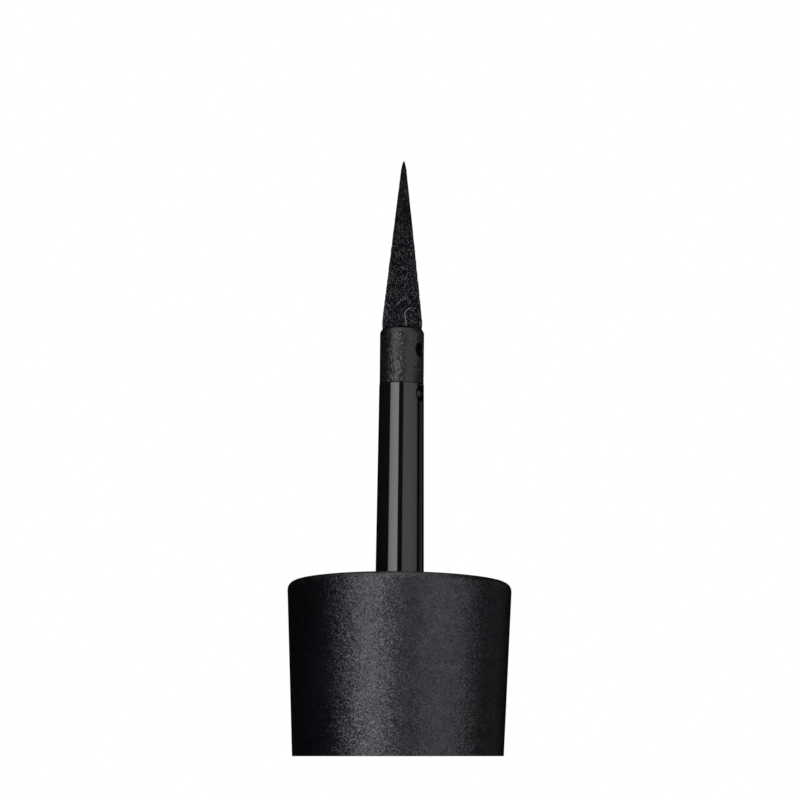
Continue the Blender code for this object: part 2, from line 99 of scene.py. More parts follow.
class Effect(Enum):
    """Surface effects that several finishes share, each one a node group."""

    GRAIN = "fine_grain"
    FLAKES = "paint_flakes"
    HAZE = "haze"
    DUST = "dust_specks"
    FIBRES = "fibre_squiggles"
    RUB = "rubbed_ring"
    STAIN = "ink_stain"


class Edge(float, Enum):
    """Radii of the small roundings that moulding and cutting leave on an edge."""

    SHARP = 0.00002
    KEEN = 0.00003
    CRISP = 0.00004
    FINE = 0.00006
    SMALL = 0.00008
    PLAIN = 0.0001
    EASED = 0.00012
    SOFT = 0.00015
    DULL = 0.0002
    ROUND = 0.0003
    BROAD = 0.0006


@dataclass(frozen=True)
class Stand:
    """Where a turned node stands in the frame: its axis, its largest radius and its two ends."""

    axis_x: float
    radius: float
    low: float
    high: float

    @classmethod
    def of(cls, node: str) -> "Stand":
        """Reads a node's place from the frame."""
        lowest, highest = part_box(node)
        return cls((lowest.x + highest.x) / 2, (highest.y - lowest.y) / 2, lowest.z, highest.z)

    def off_axis(self, point: Vector) -> float:
        """A point's distance from the axis."""
        return hypot(point.x - self.axis_x, point.y)

    def block(self, rounding: float, inner: float = 0.0) -> list[Corner]:
        """The profile of a plain disc, rod or ring that fills the place.

        Args:
            rounding: Rounding of its edges.
            inner: Radius of its hole, if it has one.

        Returns:
            The profile's corners.
        """
        rounded = (rounding,) if inner else ()
        return [
            (inner, self.high, *rounded),
            (self.radius, self.high, rounding),
            (self.radius, self.low, rounding),
            (inner, self.low, *rounded),
        ]


def round_axis(axis_x: float, radius: float, bearing: float, z: float) -> Vector:
    """A point at a radius, bearing and height round an axis."""
    return Vector((axis_x + radius * sin(bearing), -radius * cos(bearing), z))


def turned(corners: Sequence[Corner], axis_x: float, steps: int) -> BMesh:
    """Turns a profile about an upright axis. One clear of the axis is closed into a ring.

    Args:
        corners: The profile's corners, in order.
        axis_x: Where the axis stands.
        steps: Facets in a full turn.

    Returns:
        The closed surface, its faces pointing outwards.
    """
    shape = bmesh.new()
    verts = [shape.verts.new((axis_x + corner[0], 0, corner[1])) for corner in corners]
    pairs = list(zip(verts, verts[1:]))
    if corners[0][0] > 0:
        pairs.append((verts[-1], verts[0]))
    for pair in pairs:
        shape.edges.new(pair)
    for corner, vert in zip(corners, verts):
        if len(corner) > 2:
            round_corner(shape, vert, corner[2])
    bmesh.ops.spin(
        shape, geom=shape.verts[:] + shape.edges[:], cent=(axis_x, 0, 0), axis=(0, 0, 1), angle=2 * pi,
        steps=steps, use_merge=True,
    )
    bmesh.ops.remove_doubles(shape, verts=shape.verts, dist=MERGE_DISTANCE)
    bmesh.ops.recalc_face_normals(shape, faces=shape.faces)
    return shape


def round_corner(shape: BMesh, vert: BMVert, radius: float, segments: int = 5) -> None:
    """Rounds one corner of a profile that isn't turned yet.

    Args:
        shape: The profile.
        vert: Its corner.
        radius: The rounding's radius.
        segments: Straight pieces in the rounding.
    """
    bmesh.ops.bevel(
        shape, geom=[vert], offset=radius, offset_type="OFFSET", segments=segments, profile=0.5,
        affect="VERTICES", material=-1, clamp_overlap=True,
    )


def round_edges(shape: BMesh, edges: Sequence[BMEdge], radius: float, segments: int) -> None:
    """Rounds edges of a shape.

    Args:
        shape: The shape.
        edges: Its edges.
        radius: The rounding's radius.
        segments: Strips in the rounding.
    """
    bmesh.ops.bevel(
        shape, geom=edges, offset=radius, segments=segments, profile=0.5, affect="EDGES", material=-1
    )


def lay_across(shape: BMesh, axis_x: float, z: float, bearing: float, out: float = 0.0) -> None:
    """Lays an upright shape down across an axis.

    Args:
        shape: The shape, which stands on its own Z axis.
        axis_x: Where the axis stands.
        z: The height at which the shape lies.
        bearing: The way its upper end points.
        out: How far its middle is from the axis.
    """
    stand = Matrix.Translation((axis_x, 0, z)) @ Matrix.Rotation(bearing, 4, "Z")
    lie = Matrix.Translation((0, -out, 0)) @ Matrix.Rotation(pi / 2, 4, "X")
    bmesh.ops.transform(shape, matrix=stand @ lie, verts=shape.verts)
    bmesh.ops.recalc_face_normals(shape, faces=shape.faces)


def add_shape(target: BMesh, extra: BMesh) -> None:
    """Moves one shape's faces into another, and frees it.

    Args:
        target: The shape that gains the faces.
        extra: The shape that is used up.
    """
    carrier = bpy.data.meshes.new("carrier")
    extra.to_mesh(carrier)
    extra.free()
    target.from_mesh(carrier)
    bpy.data.meshes.remove(carrier)


def link(name: str, data: bpy.types.ID) -> Object:
    """Puts a mesh, a curve, a camera or a lamp into the scene.

    Args:
        name: The new object's name.
        data: What it holds.

    Returns:
        The object.
    """
    obj = bpy.data.objects.new(name, data)
    bpy.context.scene.collection.objects.link(obj)
    return obj


def link_shape(name: str, shape: BMesh) -> Object:
    """Makes an object from a shape, and frees the shape.

    Args:
        name: The object's name.
        shape: The shape that is used up.

    Returns:
        The object, smooth except at its sharp edges.
    """
    mesh = bpy.data.meshes.new(name)
    shape.to_mesh(mesh)
    shape.free()
    mesh.shade_smooth()
    mesh.set_sharp_from_angle(angle=SHARP_ANGLE)
    return link(name, mesh)


def drilled(shape: BMesh, drill: BMesh) -> BMesh:
    """Cuts one shape out of another.

    Args:
        shape: The shape to cut, which is used up.
        drill: The shape cut out of it, which is used up.

    Returns:
        What is left of the shape.
    """
    body = link_shape("drilled_body", shape)
    cutter = link_shape("drill", drill)
    boolean = body.modifiers.new("holes", "BOOLEAN")
    boolean.operation = "DIFFERENCE"
    boolean.object = cutter
    result = bmesh.new()
    result.from_object(body, bpy.context.evaluated_depsgraph_get())
    for obj in (body, cutter):
        mesh = obj.data
        bpy.data.objects.remove(obj)
        bpy.data.meshes.remove(mesh)
    return result


def add_piece(name: str, shape: BMesh, body: Body, slot: Slot, finishes: Sequence["Finish"],
              *nodes: str) -> Object:
    """Args:
        name: The piece's name.
        shape: Its shape, which is used up.
        body: The body it rides on.
        slot: Not used.
        finishes: Its finishes, in the order of its faces' indices.
        nodes: Nodes of the frame that it stands for.

    Returns:
        The piece.
    """
    piece = link_shape(name, shape)
    for finish in finishes:
        piece.data.materials.append(finish.material())
    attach(piece, body.value)
    if nodes:
        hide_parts(*nodes)
    return piece


def mark_faces(obj: Object, chosen: Callable[[MeshPolygon], bool]) -> None:
    """Gives the chosen faces the second of the object's materials.

    Args:
        obj: The object.
        chosen: Says of a face whether it is one of them.
    """
    for face in obj.data.polygons:
        face.material_index = int(chosen(face))


@dataclass(frozen=True)
class Thread:
    """A screw thread's ridge, right-handed, that grows out of its wall and sinks back at both ends."""

    pitch: float = 0.0025
    turns: float = 1.5
    height: float = 0.0006
    root_width: float = 0.0011
    crest_width: float = 0.0005
    crest_rounding: float = 0.00014
    crest_segments: int = 3
    rooting: float = 0.00012
    run_out: float = 0.2
    steps: int = 96

    def ridge(self, axis_x: float, root: float, crest: float, top_z: float) -> BMesh:
        """Sweeps the ridge's section up its helix.

        Args:
            axis_x: Where the axis stands.
            root: Radius of the wall that carries the ridge.
            crest: Radius of the ridge's top, inside or outside the wall.
            top_z: Height of the ridge's middle where it ends.

        Returns:
            The closed ridge.
        """
        start_z = top_z - self.pitch * self.turns
        rooted = root - copysign(self.rooting, crest - root)
        section = (
            (rooted, -self.root_width / 2),
            (crest, -self.crest_width / 2),
            (crest, self.crest_width / 2),
            (rooted, self.root_width / 2),
        )
        shape = bmesh.new()
        verts = [shape.verts.new((axis_x + r, 0, start_z + rise)) for r, rise in section]
        for pair in zip(verts, verts[1:] + verts[:1]):
            shape.edges.new(pair)
        for vert in verts[1:3]:
            round_corner(shape, vert, self.crest_rounding, self.crest_segments)
        bmesh.ops.spin(
            shape, geom=shape.verts[:] + shape.edges[:], cent=(axis_x, 0, 0), axis=(0, 0, 1),
            dvec=(0, 0, self.pitch / self.steps), angle=2 * pi * self.turns,
            steps=round(self.turns * self.steps),
        )
        bmesh.ops.holes_fill(shape, edges=[edge for edge in shape.edges if edge.is_boundary])
        for vert in shape.verts:
            self._sink_end(vert, axis_x, rooted, start_z)
        bmesh.ops.recalc_face_normals(shape, faces=shape.faces)
        return shape

    def _sink_end(self, vert: BMVert, axis_x: float, rooted: float, start_z: float) -> None:
        """Draws a vertex back into the wall where the ridge runs out.

        Args:
            vert: The vertex.
            axis_x: Where the axis stands.
            rooted: Radius of the ridge's buried side.
            start_z: Height of the ridge's middle where it starts.
        """
        x = vert.co.x - axis_x
        radius = hypot(x, vert.co.y)
        part_turn = atan2(vert.co.y, x) / (2 * pi)
        climbed = (vert.co.z - start_z) / self.pitch
        turns = round(climbed - part_turn) + part_turn
        share = min(1.0, max(0.0, min(turns, self.turns - turns) / self.run_out))
        eased = share * share * (3 - 2 * share)
        scale = (rooted + (radius - rooted) * eased) / radius
        vert.co.x = axis_x + x * scale
        vert.co.y *= scale


def plain(colour: Colour) -> tuple[float, float, float, float]:
    """A colour with its opaque alpha."""
    return (*colour, 1.0)


class Board:
    """A node tree while it is wired, and the positions that its patterns read."""

    def __init__(self, tree: NodeTree) -> None:
        """Keeps the tree, which has no positions yet."""
        self.tree = tree
        self.position: NodeSocket | None = None

    def feed(self, socket: NodeSocket, value: Value) -> None:
        """Links a socket to another, or sets it.

        Args:
            socket: An input.
            value: What it gets.
        """
        if isinstance(value, NodeSocket):
            self.tree.links.new(value, socket)
        else:
            socket.default_value = value

    def add(self, kind: str, inputs: dict[str | int, Value] | None = None, **settings: object) -> Node:
        """Adds a node.

        Args:
            kind: Its type, without the prefix that all shader nodes share.
            inputs: Values or links for its inputs, by name or number.
            settings: Its own properties.

        Returns:
            The node.
        """
        node = self.tree.nodes.new("ShaderNode" + kind)
        for name, setting in settings.items():
            setattr(node, name, setting)
        for key, value in (inputs or {}).items():
            self.feed(node.inputs[key], value)
        return node

    def calc(self, operation: str, *values: Value, **settings: object) -> NodeSocket:
        """The result of a Math node."""
        return self.add("Math", dict(enumerate(values)), operation=operation, **settings).outputs[0]

    def vector(self, operation: str, *values: Value) -> NodeSocket:
        """The result of a Vector Math node."""
        return self.add("VectorMath", dict(enumerate(values)), operation=operation).outputs[0]

    def times(self, one: Value, other: Value) -> NodeSocket:
        """The product of two values."""
        return self.calc("MULTIPLY", one, other)

    def plus(self, value: Value, other: Value, factor: Value) -> NodeSocket:
        """A value with another, times a factor, added to it."""
        return self.calc("MULTIPLY_ADD", other, factor, value)

    def minus(self, value: Value, other: Value) -> NodeSocket:
        """A value with another taken from it."""
        return self.calc("SUBTRACT", value, other)

    def span(self, value: Value, low: Value, high: Value, start: Value = 0.0,
             end: Value = 1.0) -> NodeSocket:
        """Eases the value's range from low to high into one from start to end, held at both ends."""
        inputs = dict(enumerate((value, low, high, start, end)))
        return self.add("MapRange", inputs, interpolation_type="SMOOTHSTEP").outputs[0]

    def blend(self, share: Value, first: Value, second: Value) -> NodeSocket:
        """Two colours mixed, by the second one's share."""
        return self.add("Mix", {0: share, 6: first, 7: second}, data_type="RGBA").outputs[2]

    def height(self) -> NodeSocket:
        """The upright part of the position."""
        return self.add("SeparateXYZ", {0: self.position}).outputs[2]

    def drawn(self, factor: float, shift: float = 0.0) -> NodeSocket:
        """Positions whose height is scaled, which draws patterns out upwards, and which may be shifted."""
        inputs = {"Vector": self.position, "Location": (shift,) * 3, "Scale": (1.0, 1.0, factor)}
        return self.add("Mapping", inputs).outputs[0]

    def noise(self, size: Value, detail: float = 2.0, rough: float = 0.5, twist: float = 0.0,
              where: NodeSocket | None = None) -> NodeSocket:
        """Noise whose lumps have a given size.

        Args:
            size: A lump's size in metres.
            detail: Octaves of finer noise.
            rough: Strength of the finer octaves.
            twist: How far the pattern is distorted.
            where: Where it is read, if not at the board's positions.

        Returns:
            Its value, about 0.5 on average.
        """
        inputs = {
            "Vector": where or self.position,
            "Scale": self.calc("DIVIDE", 1.0, size),
            "Detail": detail,
            "Roughness": rough,
            "Distortion": twist,
        }
        return self.add("TexNoise", inputs).outputs[0]


class EffectGroup(Board):
    """The node group of an effect. Each effect has a method that wires it."""

    def __init__(self, effect: Effect) -> None:
        """Makes the effect's group and wires it."""
        super().__init__(bpy.data.node_groups.new(effect.value, "ShaderNodeTree"))
        getattr(self, "_wire_" + effect.value)()

    def _take(self, **inputs: float) -> list[NodeSocket]:
        """Makes the group's inputs, the position first.

        Args:
            inputs: Names and defaults of the others.

        Returns:
            The others' sockets, in order.
        """
        sockets = self.tree.interface
        sockets.new_socket("position", in_out="INPUT", socket_type="NodeSocketVector")
        for name, default in inputs.items():
            sockets.new_socket(name, in_out="INPUT", socket_type="NodeSocketFloat").default_value = default
        given = self.tree.nodes.new("NodeGroupInput").outputs
        self.position = given["position"]
        return [given[name] for name in inputs]

    def _give(self, kind: str = "Float", **outputs: NodeSocket) -> None:
        """Makes and feeds the group's outputs.

        Args:
            kind: Type of their sockets.
            outputs: Their names and what they give.
        """
        for name in outputs:
            self.tree.interface.new_socket(name, in_out="OUTPUT", socket_type="NodeSocket" + kind)
        leave = self.tree.nodes.new("NodeGroupOutput")
        for name, result in outputs.items():
            self.feed(leave.inputs[name], result)

    def _wire_fine_grain(self) -> None:
        """Wires small round grains, some of which stand out as specks."""
        size, clump = self._take(size=0.0002, clump=0.001)
        grains = self.noise(size, detail=1.5, rough=0.55)
        clumps = self.noise(clump)
        speck = self.times(self.span(grains, 0.56, 0.70), self.span(clumps, 0.35, 0.65))
        self._give(height=self.plus(grains, clumps, 0.35), speck=speck)

    def _wire_paint_flakes(self) -> None:
        """Wires flat grains, each one tilted its own way."""
        size, tilt, nod = self._take(size=0.0001, tilt=0.3, nod=0.3)
        inputs = {"Vector": self.position, "Scale": self.calc("DIVIDE", 1.0, size)}
        cells = self.add("TexVoronoi", inputs).outputs
        lean = self.vector("SUBTRACT", cells["Color"], (0.5, 0.5, 0.5))
        reach = self.add("CombineXYZ", {0: tilt, 1: tilt, 2: nod}).outputs[0]
        facing = self.add("NewGeometry").outputs["Normal"]
        leaning = self.vector("ADD", facing, self.vector("MULTIPLY", lean, reach))
        self._give("Vector", normal=self.vector("NORMALIZE", leaning))

    def _wire_haze(self) -> None:
        """Wires slow changes of gloss, between a low and a high roughness."""
        size, low, high = self._take(size=0.003, low=0.1, high=0.2)
        clouds = self.noise(size, detail=4.0, rough=0.6, twist=0.3)
        self._give(roughness=self.span(clouds, 0.3, 0.7, low, high), haze=self.span(clouds, 0.3, 0.7))

    def _wire_dust_specks(self) -> None:
        """Wires sparse pale specks, one to a cell at most, of uneven size."""
        spacing, size = self._take(spacing=0.001, size=0.00003)
        scale = self.calc("DIVIDE", 1.0, spacing)
        cells = self.add("TexVoronoi", {"Vector": self.position, "Scale": scale}).outputs
        chance = self.add("SeparateColor", {0: cells["Color"]}).outputs[0]
        kept = self.span(chance, 0.55, 1.0)
        reach = self.times(self.times(size, scale), kept)
        self._give(dust=self.times(self.calc("LESS_THAN", cells["Distance"], reach), kept))

    def _wire_fibre_squiggles(self) -> None:
        """Wires fine matted fibres: broken, winding lines over soft lumps. The lines also mask pale fibres
        that are partly a painted highlight.
        """
        (size,) = self._take(size=0.0003)
        lines = []
        for factor, shift in ((0.6, 0.0), (1.5, 0.5)):
            winding = self.noise(size, detail=1.0, twist=0.8, where=self.drawn(factor, shift))
            off_line = self.calc("ABSOLUTE", self.minus(winding, 0.5))
            lines.append(self.span(off_line, 0.0, 0.045, 1.0, 0.0))
        both = self.calc("MAXIMUM", *lines)
        broken = self.span(self.noise(size), 0.42, 0.6)
        lumps = self.noise(size, detail=3.0, rough=0.6)
        # the broken lines mask pale fibres, which are partly painted highlight
        self._give(height=self.plus(lumps, both, 0.4), glint=self.times(both, broken))

    def _wire_rubbed_ring(self) -> None:
        """Wires patchy polish on a ring round the piece, at a height."""
        height, width = self._take(height=0.0, width=0.0005)
        away = self.calc("ABSOLUTE", self.minus(self.height(), height))
        patches = self.span(self.noise(0.0008, detail=3.0, rough=0.65), 0.42, 0.62)
        self._give(rub=self.times(self.span(away, 0.0, width, 1.0, 0.0), patches))

    def _wire_ink_stain(self) -> None:
        """Wires dried ink below a ragged line, with runs and drops above it."""
        level, fade = self._take(level=0.05, fade=0.001)
        slow = self.noise(0.0030, where=self.drawn(0.5))
        fine = self.noise(0.0009, where=self.drawn(0.4))
        runs = self.times(self.minus(self.plus(slow, fine, 0.3), 0.65), 3.0)
        above = self.calc("DIVIDE", self.minus(self.height(), level), fade)
        film = self.span(self.minus(runs, above), -0.6, 0.6)
        drops = self.span(self.noise(0.0007, detail=1.0), 0.71, 0.73)
        self._give(ink=self.calc("MAXIMUM", film, self.times(drops, 0.8)))


@cache
def effect_tree(effect: Effect) -> NodeTree:
    """The node group of an effect, built when it is first asked for."""
    return EffectGroup(effect).tree


class Surface(Board):
    """A material while it is dressed. Its patterns read object positions."""

    def __init__(self, name: str, inputs: dict[str, Value]) -> None:
        """Makes the material.

        Args:
            name: Its name.
            inputs: Plain values of its shader's inputs.
        """
        self.material = bpy.data.materials.new(name)
        self.material.use_nodes = True
        super().__init__(self.material.node_tree)
        self.shader = self.tree.nodes["Principled BSDF"]
        self.position = self.add("TexCoord").outputs["Object"]
        for key, value in inputs.items():
            self.give(key, value)

    @classmethod
    def dull(cls, name: str, grey: float) -> "Surface":
        """A surface of one grey, without any gloss."""
        return cls(name, {"Base Color": plain((grey,) * 3), "Roughness": 1.0, "Specular IOR Level": 0.0})

    def give(self, key: str, value: Value) -> None:
        """Links or sets an input of the shader."""
        self.feed(self.shader.inputs[key], value)

    def effect(self, effect: Effect, where: NodeSocket | None = None, **values: Value) -> NodeOutputs:
        """Places a shared effect.

        Args:
            effect: Which one.
            where: Where it is read, if not at the object's own positions.
            values: Values or links for its other inputs.

        Returns:
            Its outputs.
        """
        node = self.tree.nodes.new("ShaderNodeGroup")
        node.node_tree = effect_tree(effect)
        self.feed(node.inputs["position"], where or self.position)
        for key, value in values.items():
            self.feed(node.inputs[key], value)
        return node.outputs

    def paint(self, *coats: tuple[Value, Colour]) -> None:
        """Lays other colours over the base colour.

        Args:
            coats: Each one's share and its colour, the lowest first.
        """
        colour = tuple(self.shader.inputs["Base Color"].default_value)
        for share, coat in coats:
            colour = self.blend(share, colour, plain(coat))
        self.give("Base Color", colour)

    def raise_relief(self, height: Value, relief: float, normal: NodeSocket | None = None) -> None:
        """Gives the shader a bump.

        Args:
            height: The bump's height, from 0 to about 1.
            relief: The real height of 1, in metres.
            normal: The normal under the bump, where it isn't the surface's own.
        """
        bump = self.add("Bump", {"Height": height, "Distance": relief, "Strength": 1.0})
        if normal:
            self.feed(bump.inputs["Normal"], normal)
        self.give("Normal", bump.outputs[0])


@dataclass(frozen=True)
class Finish:
    """What every finish has: its name, its colour and the plain values of its shader."""

    name: str
    colour: Colour
    specular: float = 0.5
    specular_tint: Colour = (1.0, 1.0, 1.0)
    metallic: float = 0.0

    def material(self) -> Material:
        """Builds the material.

        Returns:
            A material with the finish's plain values and its own detail.
        """
        surface = Surface(
            self.name,
            {
                "Base Color": plain(self.colour),
                "Specular IOR Level": self.specular,
                "Specular Tint": plain(self.specular_tint),
                "Metallic": self.metallic,
            },
        )
        self.dress(surface)
        return surface.material

    def dress(self, surface: Surface) -> None:
        """Wires the finish's own detail. A finish with none stays plain."""


@dataclass(frozen=True)
class MattePaint(Finish):
    """Soft matte paint with a fine, sparkling grain."""

    colour: Colour = (0.0018, 0.0016, 0.0022)
    specular: float = 0.70
    specular_tint: Colour = (0.92, 0.90, 1.0)
    blotch_colour: Colour = (0.0014, 0.0012, 0.0031)
    dust_colour: Colour = (0.10, 0.10, 0.11)
    rubbed_colour: Colour = (0.010, 0.010, 0.012)
    relief: float = 0.000010
    grain_middle: float = 0.675
    dullness: float = 0.25
    dull_swing: float = 1.5
    speck_gloss: float = 0.06
    rub_gloss: float = 0.08
    rub_height: float = 0.0

    def dress(self, surface: Surface) -> None:
        """Wires grain, blotches of tint, haze, dust and a rubbed edge.

        Args:
            surface: The surface to dress.
        """
        grain = surface.effect(Effect.GRAIN, size=0.00011, clump=0.0009)
        flakes = surface.effect(Effect.FLAKES, size=0.000070, tilt=0.33, nod=0.45)
        haze = surface.effect(Effect.HAZE, size=0.0035, low=0.28, high=0.34)
        dust = surface.effect(Effect.DUST, spacing=0.0022, size=0.00005)["dust"]
        rub = surface.effect(Effect.RUB, height=self.rub_height, width=0.0009)["rub"]
        surface.paint(
            (haze["haze"], self.blotch_colour), (rub, self.rubbed_colour), (dust, self.dust_colour)
        )
        polished = surface.plus(haze["roughness"], rub, -self.rub_gloss)
        surface.give("Roughness", surface.plus(polished, grain["speck"], -self.speck_gloss))
        sunk = surface.minus(self.grain_middle, grain["height"])
        dulled = surface.calc("MULTIPLY_ADD", sunk, self.dull_swing, self.dullness, use_clamp=True)
        surface.give("Metallic", dulled)
        surface.raise_relief(grain["height"], self.relief, flakes["normal"])


@dataclass(frozen=True)
class MouldedPlastic(Finish):
    """Unpainted moulded plastic, dull, with flow marks and a fine spark texture."""

    flow_colour: Colour = (0.016, 0.016, 0.018)
    dust_colour: Colour = (0.12, 0.12, 0.12)
    low_roughness: float = 0.34
    high_roughness: float = 0.46
    relief: float = 0.000006

    def dress(self, surface: Surface) -> None:
        """Wires flow marks, texture and dust.

        Args:
            surface: The surface to dress.
        """
        flow = surface.drawn(0.25)
        low, high = self.low_roughness, self.high_roughness
        haze = surface.effect(Effect.HAZE, flow, size=0.0022, low=low, high=high)
        grain = surface.effect(Effect.GRAIN, size=0.00012, clump=0.0012)
        dust = surface.effect(Effect.DUST, spacing=0.0015, size=0.00004)
        surface.paint((haze["haze"], self.flow_colour), (dust["dust"], self.dust_colour))
        surface.give("Roughness", haze["roughness"])
        surface.raise_relief(grain["height"], self.relief)


@dataclass(frozen=True)
class GlossPlastic(Finish):
    """Polished moulded plastic, with faint draw lines along it and a little dust."""

    line_relief: float = 0.0000006
    dust_colour: Colour = (0.16, 0.16, 0.16)
    dust_dullness: float = 0.5

    def dress(self, surface: Surface) -> None:
        """Wires haze, draw lines and dust.

        Args:
            surface: The surface to dress.
        """
        drawn = surface.drawn(0.04)
        haze = surface.effect(Effect.HAZE, drawn, size=0.0009, low=0.045, high=0.10)
        dust = surface.effect(Effect.DUST, spacing=0.0019, size=0.000045)["dust"]
        surface.paint((dust, self.dust_colour))
        surface.give("Roughness", surface.plus(haze["roughness"], dust, self.dust_dullness))
        surface.raise_relief(surface.noise(0.00022, where=drawn), self.line_relief)


@dataclass(frozen=True)
class SatinPlastic(Finish):
    """Satin plastic whose sheen is broken into short upright flecks."""

    fleck_colour: Colour = (0.020, 0.020, 0.020)
    fleck_dullness: float = 0.10
    relief: float = 0.000005

    def dress(self, surface: Surface) -> None:
        """Wires flecks, haze and texture.

        Args:
            surface: The surface to dress.
        """
        upright = surface.drawn(0.5)
        grain = surface.effect(Effect.GRAIN, upright, size=0.00008, clump=0.00045)
        flakes = surface.effect(Effect.FLAKES, upright, size=0.000062, tilt=0.40, nod=0.40)
        haze = surface.effect(Effect.HAZE, upright, size=0.0008, low=0.25, high=0.33)
        surface.paint((grain["speck"], self.fleck_colour))
        surface.give("Roughness", surface.plus(haze["roughness"], grain["speck"], self.fleck_dullness))
        surface.raise_relief(grain["height"], self.relief, flakes["normal"])


@dataclass(frozen=True)
class Felt(Finish):
    """Matted fibres, dyed black and darker where ink has soaked them. Paler winding fibres are painted on;
    that colour is partly the fibres' own grey and partly a painted highlight where they would catch the
    light.
    """

    # colour of the pale fibre lines: partly fibre tone, partly painted highlight
    fibre_and_painted_glint_colour: Colour = (0.018, 0.018, 0.022)
    relief: float = 0.000014
    dry_share: float = 0.35
    wet_roughness: float = 0.72
    roughness: float = 0.92

    def dress(self, surface: Surface) -> None:
        """Wires the matted fibres, and paints pale lines on them that are partly a painted highlight.

        Args:
            surface: The surface to dress.
        """
        fibres = surface.effect(Effect.FIBRES, size=0.00012)
        wet = surface.effect(Effect.HAZE, size=0.0016, low=0.0, high=1.0)["haze"]
        glint = surface.times(fibres["glint"], surface.span(wet, 0.0, 1.0, self.dry_share, 1.0))
        # paints the pale fibre lines: partly the fibres' own grey, partly painted highlight where fibres
        # would catch light
        surface.paint((glint, self.fibre_and_painted_glint_colour))
        surface.give("Roughness", surface.span(wet, 0.0, 1.0, self.wet_roughness, self.roughness))
        surface.raise_relief(fibres["height"], self.relief)


@dataclass(frozen=True)
class Strand(Finish):
    """Single fibres, from nearly black to grey along the piece."""

    specular: float = 0.3
    pale_colour: Colour = (0.15, 0.15, 0.16)

    def dress(self, surface: Surface) -> None:
        """Wires the change from dark to pale fibres.

        Args:
            surface: The surface to dress.
        """
        haze = surface.effect(Effect.HAZE, size=0.00010, low=0.5, high=0.8)
        surface.paint((haze["haze"], self.pale_colour))
        surface.give("Roughness", haze["roughness"])


@dataclass(frozen=True)
class Rubber(Finish):
    """Soft dull rubber with talc left in its texture."""

    talc_colour: Colour = (0.15, 0.15, 0.145)
    relief: float = 0.000008

    def dress(self, surface: Surface) -> None:
        """Wires talc, texture and uneven dullness.

        Args:
            surface: The surface to dress.
        """
        grain = surface.effect(Effect.GRAIN, size=0.00014, clump=0.0008)
        haze = surface.effect(Effect.HAZE, size=0.0015, low=0.68, high=0.85)
        surface.paint((grain["speck"], self.talc_colour))
        surface.give("Roughness", haze["roughness"])
        surface.raise_relief(grain["height"], self.relief)


@dataclass(frozen=True)
class InkedPlastic(Finish):
    """Plastic that carries dried ink below a level and in stray drops."""

    ink_colour: Colour = (0.004, 0.004, 0.005)
    ink_level: float = 0.05
    ink_fade: float = 0.0012
    clean_roughness: float = 0.30
    haze_roughness: float = 0.14
    inked_roughness: float = 0.14
    rub_height: float = 0.0
    rub_gloss: float = 0.1
    relief: float = 0.000005

    def dress(self, surface: Surface) -> None:
        """Wires the ink, the haze of the bare plastic and a rubbed rim.

        Args:
            surface: The surface to dress.
        """
        hazed = self.clean_roughness + self.haze_roughness
        ink = surface.effect(Effect.STAIN, level=self.ink_level, fade=self.ink_fade)["ink"]
        grain = surface.effect(Effect.GRAIN, size=0.00016, clump=0.001)
        haze = surface.effect(Effect.HAZE, size=0.002, low=self.clean_roughness, high=hazed)
        rub = surface.effect(Effect.RUB, height=self.rub_height, width=0.0006)
        polished = surface.plus(haze["roughness"], rub["rub"], -self.rub_gloss)
        surface.paint((ink, self.ink_colour))
        surface.give("Roughness", surface.span(ink, 0.0, 1.0, polished, self.inked_roughness))
        surface.raise_relief(grain["height"], self.relief)


@dataclass(frozen=True)
class WettedSteel(Finish):
    """Polished steel with a broken film of ink."""

    film_colour: Colour = (0.05, 0.05, 0.055)

    def dress(self, surface: Surface) -> None:
        """Wires the film and the polish.

        Args:
            surface: The surface to dress.
        """
        haze = surface.effect(Effect.HAZE, size=0.0007, low=0.10, high=0.30)
        surface.paint((surface.span(haze["haze"], 0.45, 0.75), self.film_colour))
        surface.give("Roughness", haze["roughness"])


BLACK_LINER = MouldedPlastic("black_liner_plastic", (0.012, 0.012, 0.013))
BARE_SHELL = MouldedPlastic("bare_shell_plastic", (0.009, 0.009, 0.010), low_roughness=0.28)


